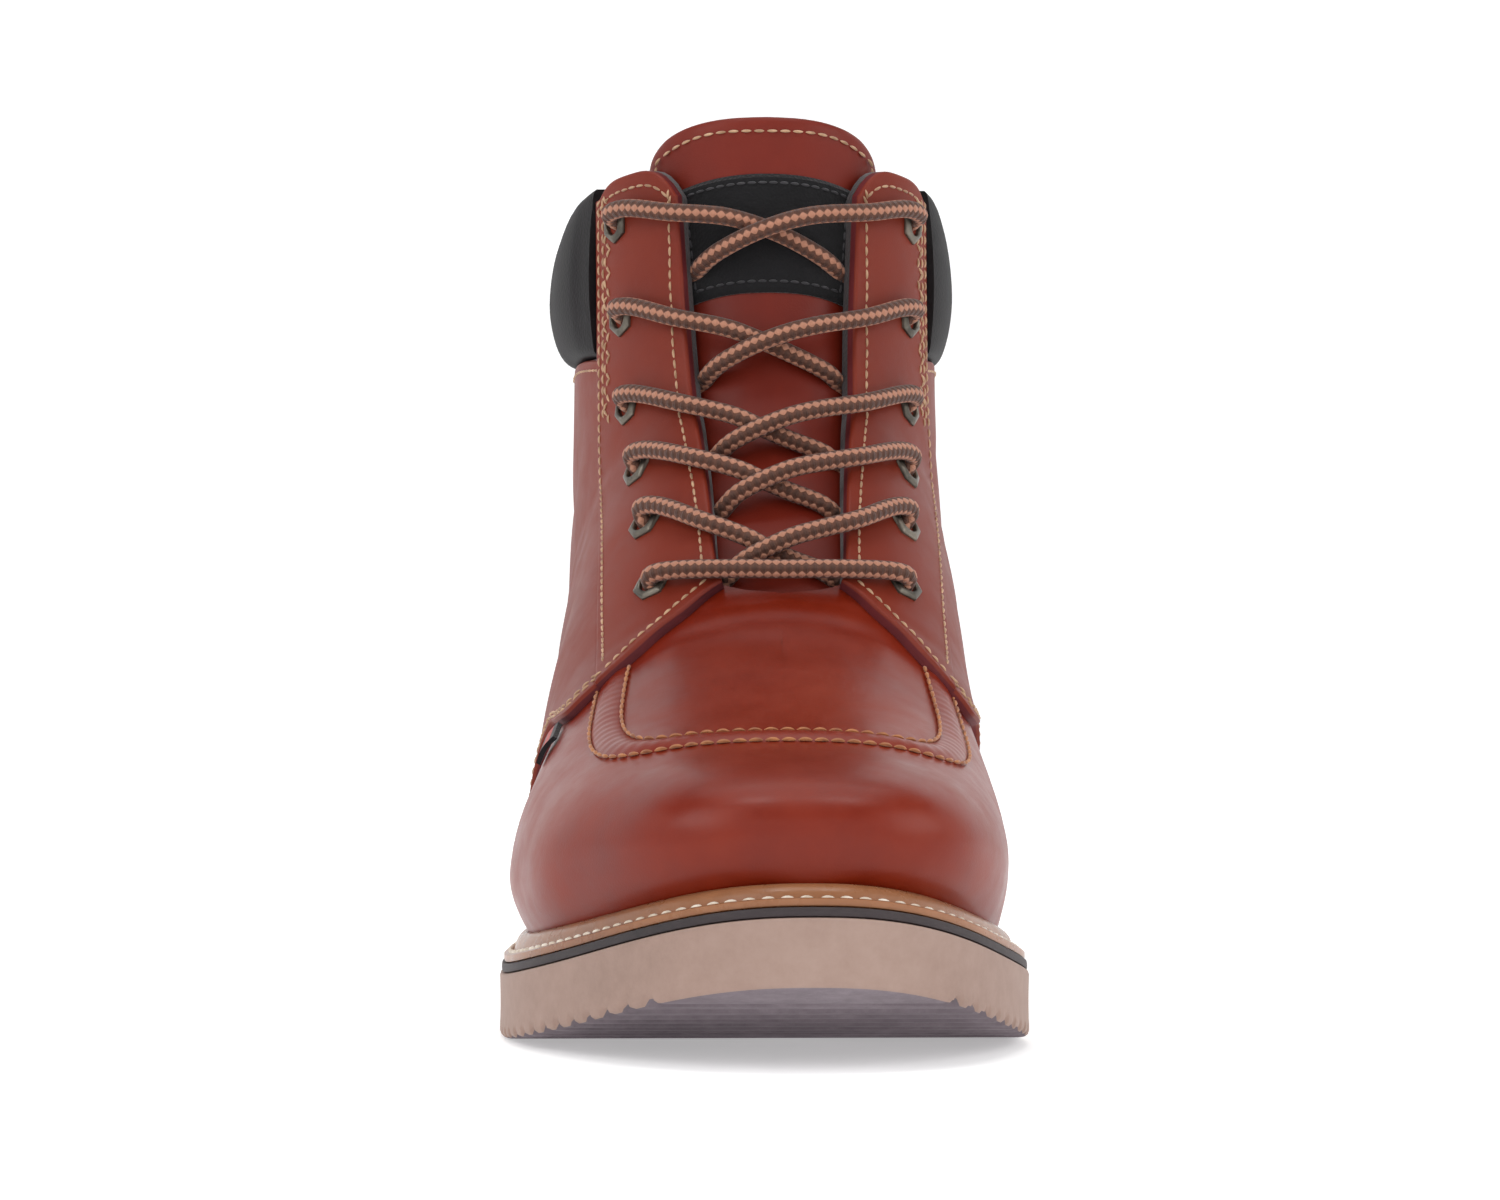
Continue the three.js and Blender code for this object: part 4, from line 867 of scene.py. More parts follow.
@dataclass
class Sole:
    """Wedge outsole, midsole, welt and insole, each a layer on the sole's own outline."""

    welt_thickness: float = 4.6
    midsole_thickness: float = 2.0
    gap: float = 0.3
    groove_pitch: float = 5.5
    groove_width: float = 2.2
    groove_depth: float = 1.3
    groove_margin: float = 14.0
    stations: int = 220

    def welt_top(self, at: Array) -> Array:
        """Height of the welt's upper face."""
        return SOLE.seat(at) - self.gap

    def midsole_top(self, at: Array) -> Array:
        """Height of the midsole's upper face."""
        return self.welt_top(at) - self.welt_thickness - 0.05

    def outsole_top(self, at: Array) -> Array:
        """Height of the outsole's upper face."""
        return self.midsole_top(at) - self.midsole_thickness - 0.25

    def tread(self, at: Array) -> Array:
        """Height of the underside: the ground line plus grooves, each a pulse with soft sides."""
        forward = at * SOLE.length
        count = math.floor((SOLE.length - 2 * self.groove_margin) / self.groove_pitch)
        near = np.clip(np.round((forward - self.groove_margin) / self.groove_pitch), 0, count)
        off = np.abs(forward - self.groove_margin - near * self.groove_pitch)
        return SOLE.ground(at) + self.groove_depth * (1 - smoothstep(self.groove_width / 2 - 0.35,
                                                                      self.groove_width / 2 + 0.35, off))

    def layer(self, profile: list[tuple[float, float, float]], bottom: "object", top: "object",
              base: Insets, shares: Array, across: int = 21) -> tuple[Array, Array, Array]:
        """A plate as rings along the foot: across its bottom, up one edge, back over its top and
        down the other edge.

        Args:
            profile: its edge from bottom to top as (inset, share of the height, lift in mm).
            bottom: the height of its lower face as a function of the share of the length.
            top: the same for its upper face.
            base: the insets that the profile's own are added to.
            shares: stations along the foot.
            across: points across each face.

        Returns:
            Points, quads, and 1 for each quad of the lower face.
        """
        def edge(side: int, step: tuple[float, float, float]) -> Array:
            """One line of the edge profile on one side."""
            inset, share, lift = step
            drawn = Insets(base.heel + inset, base.toe + inset, base.side + inset)
            return drawn.edge(shares, side, lambda at: mix(bottom(at), top(at), share), lift)

        lateral = np.stack([edge(-1, step) for step in profile], 1)
        medial = np.stack([edge(1, step) for step in profile], 1)
        over = np.linspace(0, 1, across)[None, :, None]
        under = mix(lateral[:, :1], medial[:, :1], over)
        roof = mix(medial[:, -1:], lateral[:, -1:], over)
        ring = np.concatenate([under, medial[:, 1:-1], roof, lateral[:, -2:0:-1]], 1)
        kinds = np.zeros(ring.shape[1], int)
        kinds[:across] = 1
        kinds[-1] = 1
        faces = grid_faces(len(shares), ring.shape[1], closed=True)
        points = ring.reshape(-1, 3)
        first, faces, stays = weld(points, faces)
        points = points[first]
        return points, outward(points, faces), by_polygon(faces, np.tile(kinds, len(shares) - 1)[stays])

    def shares(self, grooved: bool = False) -> Array:
        """Stations along the foot, closer at the round ends and at the sides of the grooves."""
        even = (1 - np.cos(np.linspace(0, np.pi, self.stations))) / 2
        if not grooved:
            return even
        count = math.floor((SOLE.length - 2 * self.groove_margin) / self.groove_pitch)
        centres = self.groove_margin + self.groove_pitch * np.arange(count + 1)
        sides = self.groove_width / 2 + np.array([-0.4, -0.2, 0.0, 0.2, 0.4])
        edges = (centres[:, None] + np.concatenate([-sides, sides])[None]).ravel() / SOLE.length
        both = np.sort(np.concatenate([even, edges]))
        return np.concatenate([[0.0], both[1:-1][np.diff(both[:-1]) > 2e-4], [1.0]])

    def outsole(self) -> bpy.types.Object:
        """Cream wedge with a grooved tread."""
        profile = [(1.7, 0, 0), (0.8, 0, 0.15), (0.25, 0, 0.6), (0.0, 0.0, 1.3)]
        profile += [(0.12 * math.sin(math.pi * share), share, 0) for share in (0.2, 0.4, 0.6, 0.8)]
        profile += [(0.0, 1, -0.9), (0.2, 1, -0.3), (0.8, 1, 0.0)]
        points, faces, kinds = self.layer(profile, self.tread, self.outsole_top, Insets.even(0), self.shares(True))
        # The lower face takes the tread finish, whose darker grey is partly painted shade.
        piece = mesh_object("wedge_outsole", points, polygons_of(faces), [finish("outsole"), finish("tread")], kinds)
        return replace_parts(piece, "outsole")

    def midsole(self) -> bpy.types.Object:
        """Thin dark layer between wedge and welt."""
        profile = [(1.0, 0, 0), (0.1, 0, 0.3), (0.0, 0, 0.8), (0.0, 1, -0.8), (0.1, 1, -0.3), (1.0, 1, 0)]
        points, faces, _ = self.layer(profile, lambda at: self.outsole_top(at) - 0.05, self.midsole_top,
                                      Insets.even(0.4), self.shares())
        piece = mesh_object("thin_midsole", points, polygons_of(faces), [finish("midsole")])
        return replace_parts(piece, "midsole")

    def insole(self) -> bpy.types.Object:
        """Footbed inside the upper."""
        profile = [(0.6, 0, 0), (0.0, 0, 0.6), (0.0, 1, -0.9), (0.3, 1, -0.3), (1.1, 1, 0)]
        base = Insets(FEATHER.heel + 3.7, FEATHER.toe + 3.7, FEATHER.side + 3.7)
        points, faces, _ = self.layer(profile, lambda at: self.midsole_top(at) + 0.3, lambda at: SOLE.seat(at) + 3.5,
                                      base, self.shares())
        piece = mesh_object("footbed", points, polygons_of(faces), [finish("insole")])
        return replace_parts(piece, "insole")

    def welt(self) -> list[bpy.types.Object]:
        """Leather welt, sloping up from a thin lip to the upper, with a stitched groove."""
        profile = [(0, -4.1), (0, -3.1), (0.07, -2.75), (0.15, -2.6), (0.2, -2.75), (0.27, -2.85), (0.34, -2.6),
                   (0.39, -1.9), (0.44, -0.9), (0.52, 0.2), (0.62, 1.0), (0.74, 1.6), (0.86, 1.8), (0.97, 1.6),
                   (1.06, 1.0), (1.25, 0.0), (1.25, -4.5), (0.9, -4.6), (0.1, -4.6), (0.02, -4.45)]
        share = self.shares()
        outer = Insets.even(0.9)

        def loop(step: tuple[float, float]) -> Array:
            """One line of the profile carried round the foot."""
            edge = outer.toward(FEATHER, step[0])
            lateral = edge.edge(share, -1, self.welt_top, step[1])
            medial = edge.edge(share, 1, self.welt_top, step[1])
            return np.concatenate([lateral, medial[-2:0:-1]])

        rings = np.stack([loop(step) for step in profile])
        points, faces = closed_grid(rings, joined_ends=True)
        body = mesh_object("stitched_welt", points, outward(points, faces), [finish("welt")])
        seam = loop((0.27, -2.75))
        seam = np.concatenate([seam, seam[:1]])
        inner, outer_line = loop((0.5, -1.4)), loop((0.05, -2.7))
        slope = np.concatenate([inner - outer_line, (inner - outer_line)[:1]])
        normal = unit(np.cross(np.gradient(seam, axis=0), slope))
        normal *= np.sign(normal[:, 2:])
        stitched = Thread(3.2, 3.9, 0.58, 0.4).stitches(seam, normal)
        threads = mesh_object("welt_stitches", *stitched, [finish("white_thread")])
        return [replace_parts(body, "welt"), threads]

    def build(self) -> list[bpy.types.Object]:
        """All layers."""
        return [self.outsole(), self.midsole(), *self.welt(), self.insole()]


@dataclass
class Upper:
    """Vamp and shaft as one skin with its lining, cut away under the padded collar."""

    wall: float = 2.2
    columns: int = 58
    blend_row: float = 15.5

    def rows(self) -> Array:
        """Sections of the skin, closer at the lower corner of the throat."""
        return np.concatenate([np.linspace(0, 9, 131), [9.03, 9.06, 9.09, 9.12], np.linspace(9.18, 9.6, 8),
                               np.linspace(9.7, 20, 104)])

    def places(self, side: int) -> tuple[Array, Array]:
        """Row and girth of each point: rows above the blend are drawn down to the rounded top."""
        row = np.repeat(self.rows()[:, None], self.columns, 1)
        share = np.linspace(0, 1, self.columns)[None]
        girth = share * LAST.throat_girth(side, row)
        top = LAST.eyestay_top(side, girth)
        drawn = mix(self.blend_row, top, (row - self.blend_row) / (LAST.collar_row - self.blend_row))
        row = np.where(row > self.blend_row, drawn, row)
        return row, share * LAST.throat_girth(side, row)

    def build(self) -> list[bpy.types.Object]:
        """Builds the skin."""
        (row_l, girth_l), (row_m, girth_m) = self.places(-1), self.places(1)
        row = np.concatenate([row_l[:, ::-1], row_m], 1)
        girth = np.concatenate([girth_l[:, ::-1], girth_m], 1)
        side = np.concatenate([np.full(row_l.shape, -1.0), np.full(row_m.shape, 1.0)], 1)
        faces = grid_faces(len(row), row.shape[1])
        faces = faces[faces[:, 0] % row.shape[1] != self.columns - 1]
        row, girth, side = row.ravel(), girth.ravel(), side.ravel()
        middle_row, middle_girth, middle_side = (value[faces].mean(1) for value in (row, girth, side))
        under_pad = ((middle_row > LAST.collar_line(middle_girth) + 0.3)
                     & (middle_girth < LAST.seam_girth(middle_side, middle_row) - 0.05))
        faces = faces[~under_pad]
        outer = LAST.lifted(side, row, girth, 0.0)
        inner = LAST.lifted(side, row, girth, -self.wall)
        first, faces, _ = weld(outer, faces)
        points, faces, kinds = thicken(outer[first], inner[first], faces)
        used, compact = np.unique(faces, return_inverse=True)
        points, faces = points[used], compact.reshape(faces.shape)
        turned = outward(points, faces)
        piece = mesh_object("vamp_and_shaft", points, polygons_of(turned), [finish("vamp"), finish("lining")],
                            by_polygon(turned, kinds.clip(0, 1)))
        return [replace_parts(piece, "upper")]


@dataclass
class Panel:
    """A leather overlay on the upper: a grid of rows by girths with rounded edges.

    Its thickness is full inside and falls near an edge as the arc of a circle of the edge's
    radius; the distance to an edge is measured along the grid."""

    side: int
    row: Array
    girth: Array
    lift: float
    top: float
    radius: float = 0.7

    def __post_init__(self) -> None:
        """Works out the two skins."""
        self.inner = LAST.lifted(self.side, self.row, self.girth, self.lift)
        gap_rows = np.linalg.norm(np.diff(self.inner, axis=0), axis=2)
        gap_columns = np.linalg.norm(np.diff(self.inner, axis=1), axis=2)
        self.down = np.concatenate([np.zeros((1, self.row.shape[1])), np.cumsum(gap_rows, 0)])
        self.over = np.concatenate([np.zeros((self.row.shape[0], 1)), np.cumsum(gap_columns, 1)], 1)
        near = np.minimum(np.minimum(self.down, self.down[-1:] - self.down),
                          np.minimum(self.over, self.over[:, -1:] - self.over))
        inside = np.clip(near, 0, self.radius)
        drop = self.radius - np.sqrt(self.radius**2 - (self.radius - inside) ** 2)
        self.outer = LAST.lifted(self.side, self.row, self.girth, self.top - drop)
        self.normals = LAST.normal(self.side, self.row, self.girth)

    def mesh(self, name: str, finishes: list[bpy.types.Material]) -> bpy.types.Object:
        """The panel, its cut edge in the second finish."""
        faces = grid_faces(*self.row.shape)
        points, quads, kinds = thicken(self.outer.reshape(-1, 3), self.inner.reshape(-1, 3), faces)
        return mesh_object(name, points, outward(points, quads), finishes, np.minimum(kinds, 1))

    def read(self, table: Array, rows: Array, columns: Array) -> Array:
        """A value of the grid between its points, at fractional numbers of row and column."""
        i = np.clip(np.floor(rows).astype(int), 0, table.shape[0] - 2)
        j = np.clip(np.floor(columns).astype(int), 0, table.shape[1] - 2)
        u, v = (rows - i)[:, None], (columns - j)[:, None]
        return mix(mix(table[i, j], table[i, j + 1], v), mix(table[i + 1, j], table[i + 1, j + 1], v), u)

    def path(self, *steps: tuple[str, float, float, float]) -> tuple[Array, Array]:
        """A line inside the panel made of runs along its edges.

        Args:
            steps: (edge, inset in mm, from, to) with edge front, top, seam or inner, and shares
                of the other direction.

        Returns:
            The points on the panel's outside and the normals there.
        """
        rows, columns = [], []
        last_row, last_column = self.row.shape[0] - 1, self.row.shape[1] - 1
        for edge, inset, start, end in steps:
            if edge in ("front", "top"):
                run = np.linspace(start, end, 60) * last_column
                lines = np.round(run).astype(int)
                depth = self.down if edge == "front" else self.down[-1:] - self.down
                order = slice(None) if edge == "front" else slice(None, None, -1)
                found = np.array([np.interp(inset, depth[order, k], np.arange(last_row + 1)[order]) for k in lines])
                rows.append(found)
                columns.append(run)
            else:
                run = np.linspace(start, end, 160) * last_row
                lines = np.round(run).astype(int)
                depth = self.over if edge == "seam" else self.over[:, -1:] - self.over
                order = slice(None) if edge == "seam" else slice(None, None, -1)
                found = np.array([np.interp(inset, depth[k, order], np.arange(last_column + 1)[order]) for k in lines])
                rows.append(run)
                columns.append(found)
        row, column = np.concatenate(rows), np.concatenate(columns)
        line, normal = self.read(self.outer, row, column), self.read(self.normals, row, column)
        keep = np.concatenate([[True], np.linalg.norm(np.diff(line, axis=0), axis=1) > 0.05])
        return line[keep], unit(normal[keep])


def dense_shares(count: int, ends: tuple[float, ...] = (0.0, 0.2, 0.45, 0.75)) -> Array:
    """Shares from 0 to 1, even inside and closer at both ends."""
    step = 1 / count
    inner = np.linspace(step, 1 - step, count - 1)
    low = np.array(ends) * step
    return np.concatenate([low, inner, 1 - low[::-1]])


@dataclass
class Quarter:
    """Side panel from behind the vamp round to the back seam."""

    side: int
    thread: Thread = Thread(2.3, 2.8, 0.34, 0.12)

    def panel(self) -> Panel:
        """The outline by repeated substitution: row from girth, then girth from row."""
        row_share, column_share = np.meshgrid(dense_shares(90), dense_shares(80), indexing="ij")
        girth, row = column_share.copy(), np.full(column_share.shape, 9.0)
        for _ in range(8):
            row = mix(LAST.front_edge(girth), LAST.collar_line(girth), row_share)
            seam = LAST.seam_girth(self.side, row) - LAST.seam_drop
            rear = mix(0.08, LAST.girth_for(0.15, self.side, row, 0.02), smoothstep(13.6, 14.4, row))
            girth = mix(rear, seam + 0.01, column_share)
        return Panel(self.side, row, girth, 0.05, 2.45, 0.9)

    def build(self) -> list[bpy.types.Object]:
        """Panel and its stitching."""
        name = Side(self.side).name.lower()
        panel = self.panel()
        body = panel.mesh(f"quarter_panel_{name}", [finish("quarter"), finish("edge")])
        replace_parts(body, f"quarter_{name}")
        rows = [panel.path(("front", inset, 0.03, 1.0)) for inset in (3.2, 6.2)]
        rows += [panel.path(("top", inset, 0.0, 1.0)) for inset in (2.6,)]
        rows += [panel.path(("seam", inset, 0.42, 1.0)) for inset in (3.4,)]
        threads = mesh_object(f"quarter_stitches_{name}", *joined([self.thread.stitches(*row) for row in rows]),
                              [finish("cream_thread")])
        return [body, threads]


@dataclass
class Eyestay:
    """Facing with the eyelets: from its seam to the throat, its lower tip slanted on the vamp."""

    side: int
    thread: Thread = Thread(2.3, 2.8, 0.34, 0.12)

    def panel(self) -> Panel:
        """The outline by repeated substitution, as for the quarter."""
        row_share, column_share = np.meshgrid(dense_shares(150), dense_shares(26, (0.0, 0.15, 0.4, 0.7)),
                                              indexing="ij")
        girth, row = mix(1.3, 1.7, column_share), np.full(column_share.shape, 9.0)
        lower = LAST.throat["half"][2] * SOLE.ball - 0.6
        for _ in range(14):
            row = mix(LAST.front_edge(girth), LAST.eyestay_top(self.side, girth), row_share)
            half = np.maximum(LAST.throat_half(row), lower)
            seam = LAST.seam_girth(self.side, row) - LAST.seam_drop
            girth = mix(seam, LAST.girth_at(self.side, row, half), column_share)
        return Panel(self.side, row, girth, 0.05, 2.85, 0.8)

    def build(self) -> list[bpy.types.Object]:
        """Panel and its stitching."""
        name = Side(self.side).name.lower()
        panel = self.panel()
        body = panel.mesh(f"eyestay_panel_{name}", [finish("quarter"), finish("edge")])
        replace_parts(body, f"eyestay_{name}")
        inset = 3.6
        rows = [panel.path(("inner", inset, 0.05, 0.965), ("top", inset, 0.86, 0.14), ("seam", 2.4, 0.975, 0.06)),
                panel.path(("front", inset, 0.06, 0.94)), panel.path(("seam", 5.2, 0.6, 0.97))]
        line, normal = panel.path(("seam", 7.6, 0.58, 0.96))
        across = unit(np.cross(np.gradient(line, axis=0), normal))
        wave = np.where((travelled(line) / 2.6).astype(int) % 2 == 0, 1.0, -1.0)[:, None]
        rows.append((line + across * wave * 0.8, normal))
        threads = mesh_object(f"eyestay_stitches_{name}", *joined([self.thread.stitches(*row) for row in rows]),
                              [finish("cream_thread")])
        return [body, threads]


@dataclass
class PaddedCollar:
    """Padded collar: a closed profile carried round the back from seam to seam."""

    bulge: float = 9.0
    cover: float = 1.8
    lining: float = 5.0
    profile: tuple[tuple[float, float, bool], ...] = (
        (0.02, 0.2, False), (0.14, 0.72, False), (0.38, 1.0, False), (0.64, 0.92, False), (0.86, 0.6, False),
        (1.0, 0.1, False), (0.98, -0.45, True), (0.8, -0.95, True), (0.5, -1.0, True), (0.2, -0.85, True),
        (0.02, -0.5, True))
    fold_depth: float = 0.55

    def rings(self) -> Array:
        """Rings of points, from the lateral seam round the back to the medial one."""
        around = np.linspace(-1, 1, 171)
        side, share = np.where(around < 0, -1.0, 1.0)[:, None], np.abs(around)[:, None]
        table = np.array([(up, depth, lining) for up, depth, lining in self.profile])
        wrapped = np.concatenate([table[-3:], table, table[:4]])
        taper = mix(1, 0.35, np.clip((share - 0.7) / 0.3, 0, 1))
        offsets = np.where(wrapped[:, 2] > 0.5, self.lining * wrapped[:, 1],
                           self.cover + (self.bulge - self.cover) * wrapped[:, 1] * taper)
        at = np.linspace(0, len(table), 48, endpoint=False)
        keys = np.arange(len(wrapped)) - 3.0
        up = np.clip(hermite(keys, wrapped[:, 0], at), 0, 1)[None]
        offset = hermite(keys, offsets.T, at).T
        girth = share + 0 * up
        row = np.full(girth.shape, LAST.collar_row)
        for _ in range(7):
            low = LAST.collar_line(girth)
            row = mix(low + LAST.rows_for(0.3, side, low, girth), LAST.collar_row, up)
            seam = LAST.seam_girth(side, row) - LAST.seam_drop
            girth = (seam - LAST.girth_for(0.9, side, row, seam)) * share
        folds = (np.sin(around * 31)[:, None] * np.sin(around * 12.7 + 0.8)[:, None])
        outside = np.sin(np.pi * np.clip(up, 0, 1)) * (offset > 0)
        offset = offset - self.fold_depth * np.maximum(folds, 0) * outside
        return LAST.point(side, row, girth) + LAST.normal(side, row, girth) * offset[..., None]

    def build(self) -> list[bpy.types.Object]:
        """The pad."""
        points, faces = closed_grid(self.rings())
        piece = mesh_object("padded_collar", points, polygons_of(outward(points, faces)), [finish("collar")])
        return [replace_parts(piece, "collar_pad")]


@dataclass
class MocSeam:
    """Raised seam of the moc toe: a puckered ridge between two rows of stitches."""

    width: float = 8.5
    height: float = 1.3
    pucker: float = 0.07
    pitch: float = 3.4
    course: dict[str, Array] = field(default_factory=lambda: rows_of(
        "row half", (5.2, 0.0), (5.22, 0.09), (5.31, 0.175), (5.46, 0.248), (5.75, 0.298), (6.2, 0.325),
        (6.7, 0.333), (7.2, 0.33), (7.7, 0.324), (8.1, 0.318)))

    def seats(self) -> tuple[Array, Array]:
        """Points and normals of the course, from the lateral end round the toe to the medial."""
        last = len(self.course["row"]) - 1
        number = np.linspace(-last, last, 421)
        keys = np.arange(-last, last + 1)
        row = hermite(keys, np.concatenate([self.course["row"][:0:-1], self.course["row"]]), number)
        half = hermite(keys, np.concatenate([-self.course["half"][:0:-1], self.course["half"]]), number) * SOLE.ball
        side = np.where(half < 0, -1.0, 1.0)
        girth = LAST.girth_at(side, row, np.abs(half))
        return LAST.lifted(side, row, girth, 0.0), LAST.normal(side, row, girth)

    def build(self) -> list[bpy.types.Object]:
        """Ridge and stitches: the ridge's profile is a cosine bell, lower where a stitch pulls."""
        line, normals = self.seats()
        even, at = resample(line, 0.55)
        line, normals = along(line, at), unit(along(normals, at))
        tangent = unit(np.gradient(line, axis=0))
        across = unit(np.cross(tangent, normals))
        share = np.linspace(-1, 1, 23)
        pull = 1 - self.pucker * (0.5 + 0.5 * np.cos(2 * np.pi * even / self.pitch))
        bell = np.cos(np.pi / 2 * np.clip(share, -1, 1)) ** 0.8
        height = pull[:, None] * self.height * bell[None]
        sideways = share[None] * self.width / 2 * (0.94 + 0.06 * pull[:, None])
        top = line[:, None] + across[:, None] * sideways[..., None] + normals[:, None] * (height - 0.15)[..., None]
        bottom = (line[:, None] + across[:, None] * (sideways * 0.92)[..., None]
                  - normals[:, None] * 0.8 * np.ones((1, len(share), 1)))
        rings = np.concatenate([top, bottom[:, ::-1]], 1)
        points, faces = closed_grid(rings)
        ridge = mesh_object("moc_seam_ridge", points, polygons_of(outward(points, faces)), [finish("vamp")])
        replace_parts(ridge, "moc_seam")
        rows = [(line + across * (place_at * self.width / 2) + normals * 0.25, unit(normals + across * place_at * 0.5))
                for place_at in (-0.94, 0.94)]
        thread = Thread(2.9, self.pitch, 0.46, 0.28)
        stitches = mesh_object("moc_seam_stitches", *joined([thread.stitches(*row) for row in rows]),
                               [finish("tan_thread")])
        return [ridge, stitches]


@dataclass
class Tongue:
    """Padded tongue under the throat, with a stitched border and a bare cloth patch."""

    thickness: float = 5.0
    rise: float = 9.5
    seat: float = 4.1
    outline: dict[str, Array] = field(default_factory=lambda: rows_of(
        "share half", (0.0, 0.2), (0.25, 0.22), (0.55, 0.25), (0.78, 0.285), (0.86, 0.29), (0.92, 0.283),
        (0.96, 0.252), (0.98, 0.208), (0.992, 0.148), (0.998, 0.08), (1.0, 0.0)))
    patch_width: float = 45.0
    patch_height: float = 27.0
    patch_top: float = 0.853
    patch_arch: float = 2.2

    def row(self, share: Array) -> Array:
        """Rows of the upper's table at shares up the tongue."""
        top = LAST.collar_row + LAST.rows_for(self.rise, 1, LAST.collar_row + 1, 2.0)
        return mix(LAST.throat_row - 0.3, top, share)

    def point(self, share: Array, across: Array, offset: Array | float) -> tuple[Array, Array]:
        """Points and normals at a share up the tongue and a share of its half width; the offset
        is outward from its face."""
        share, across = np.broadcast_arrays(share, across)
        row = self.row(share)
        half = hermite(self.outline["share"], self.outline["half"], share) * SOLE.ball
        side = np.where(across < 0, -1.0, 1.0)
        girth = np.where(across == 0, 2.0, LAST.girth_at(side, row, np.abs(across) * half))
        normal = LAST.normal(side, row, girth)
        depth = np.asarray(offset) - self.seat
        return LAST.point(side, row, girth) + normal * (depth + 0 * share)[..., None], normal

    def body(self) -> bpy.types.Object:
        """Closed pad: each section is a superellipse of the tongue's width and thickness, which
        thins to a rounded top edge."""
        share = np.concatenate([np.linspace(0, 0.9, 90), 0.9 + 0.1 * np.sin(np.linspace(0.05, np.pi / 2, 26))])
        turn = np.linspace(0, 2 * np.pi, 72, endpoint=False)
        across = np.sign(np.cos(turn)) * np.abs(np.cos(turn)) ** 0.55
        level = np.sign(np.sin(turn)) * np.abs(np.sin(turn)) ** 0.75
        thin = np.sqrt(1 - np.clip((share - 0.93) / 0.0705, 0, 1) ** 2)
        half = self.thickness / 2 * thin
        padding = -self.thickness / 2 + level[None] * half[:, None]
        points, _ = self.point(share[:, None], across[None] + 0 * share[:, None], padding)
        points, faces = closed_grid(points)
        piece = mesh_object("padded_tongue", points, polygons_of(outward(points, faces)), [finish("tongue")])
        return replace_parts(piece, "tongue")

    def border(self) -> bpy.types.Object:
        """Stitches a few millimetres inside the tongue's edge."""
        turn = np.linspace(-1, 1, 220)
        share = 0.72 + 0.245 * np.clip(1 - np.abs(turn) ** 5, 0, 1)
        outer = hermite(self.outline["share"], self.outline["half"], share)
        limit = (outer * SOLE.ball - 3.4) / (outer * SOLE.ball)
        line, normal = self.point(share, np.clip(turn * 1.35, -1, 1) * limit, -0.12)
        stitches = Thread(2.4, 3.1, 0.36, 0.12).stitches(line, normal)
        return mesh_object("tongue_stitches", *stitches, [finish("cream_thread")])

    def patch(self) -> list[bpy.types.Object]:
        """Bare black patch with a border of stitches."""
        half = float(hermite(self.outline["share"], self.outline["half"], 0.75)) * SOLE.ball
        limit = self.patch_width / 2 / half
        probe = np.linalg.norm(self.point(np.array(self.patch_top), np.array(0.0), 0)[0]
                               - self.point(np.array(self.patch_top - 0.1), np.array(0.0), 0)[0]) / 0.1
        low = self.patch_top - self.patch_height / probe
        rows, columns = np.meshgrid(np.linspace(low, self.patch_top, 30), np.linspace(-limit, limit, 48), indexing="ij")
        arch = self.patch_arch / probe

        def arched(row: Array, column: Array) -> Array:
            """Rows of the patch drawn down towards its upper corners as a parabola."""
            return row - arch * (column / limit) ** 2 * (row - low) / (self.patch_top - low)

        rows = arched(rows, columns)
        near = np.minimum(1 - np.abs(np.linspace(-1, 1, 30))[:, None], 1 - np.abs(np.linspace(-1, 1, 48))[None])
        edge = np.clip(near / 0.05, 0, 1) ** 0.5
        outer, _ = self.point(rows, columns, 0.35 + 0.8 * edge)
        inner, _ = self.point(rows, columns, -0.2)
        points, faces, _ = thicken(outer.reshape(-1, 3), inner.reshape(-1, 3), grid_faces(*rows.shape))
        body = mesh_object("bare_patch", points, outward(points, faces), [finish("patch")])
        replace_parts(body, "tongue_patch")
        inset = 2.2
        wide, tall = limit * (1 - 2 * inset / self.patch_width), inset / probe
        run = np.linspace(-1, 1, 60)
        corner_rows = np.concatenate([np.full(60, self.patch_top - tall), np.linspace(self.patch_top - tall, low + tall, 40),
                                      np.full(60, low + tall), np.linspace(low + tall, self.patch_top - tall, 40)])
        corner_columns = np.concatenate([run * wide, np.full(40, wide), -run * wide, np.full(40, -wide)])
        line, normal = self.point(arched(corner_rows, corner_columns), corner_columns, 1.15)
        keep = np.concatenate([[True], np.linalg.norm(np.diff(line, axis=0), axis=1) > 0.05])
        border = Thread(2.1, 2.6, 0.34, 0.1).stitches(line[keep], normal[keep])
        return [body, mesh_object("patch_stitches", *border, [finish("black_thread")])]

    def build(self) -> list[bpy.types.Object]:
        """Tongue, border and patch."""
        return [self.body(), self.border(), *self.patch()]


@dataclass
class FoldedTag:
    """Small folded tag, black with a red band, under the arch of the lateral quarter."""

    def build(self) -> list[bpy.types.Object]:
        """A small sheet on the vamp, bowed out across its middle."""
        width = float(LAST.rows_for(9.0, -1, np.array(7.9), np.array(1.27)))
        rows, girths = np.meshgrid(np.linspace(7.7, 7.7 + width, 16), np.linspace(1.245, 1.335, 18), indexing="ij")
        bow = 0.5 * np.sin(np.pi * np.linspace(0, 1, 18))[None]
        outer, inner = (LAST.lifted(-1, rows, girths, value + bow) for value in (1.6, 0.5))
        points, faces, kinds = thicken(outer.reshape(-1, 3), inner.reshape(-1, 3), grid_faces(*rows.shape))
        count = 15 * 17
        column = np.tile(np.arange(17), 15)
        band = np.where((column > 8) & (column < 14), 1, 0)
        slots = np.concatenate([band, np.zeros(len(faces) - 2 * count, int), np.zeros(count, int)])
        piece = mesh_object("folded_tag", points, outward(points, faces), [finish("tag"), finish("tag_red")], slots)
        return [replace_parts(piece, "side_tag")]


@dataclass(frozen=True)
class Seat:
    """Place of one eyelet."""

    row: float
    half: float
    point: Array
    normal: Array


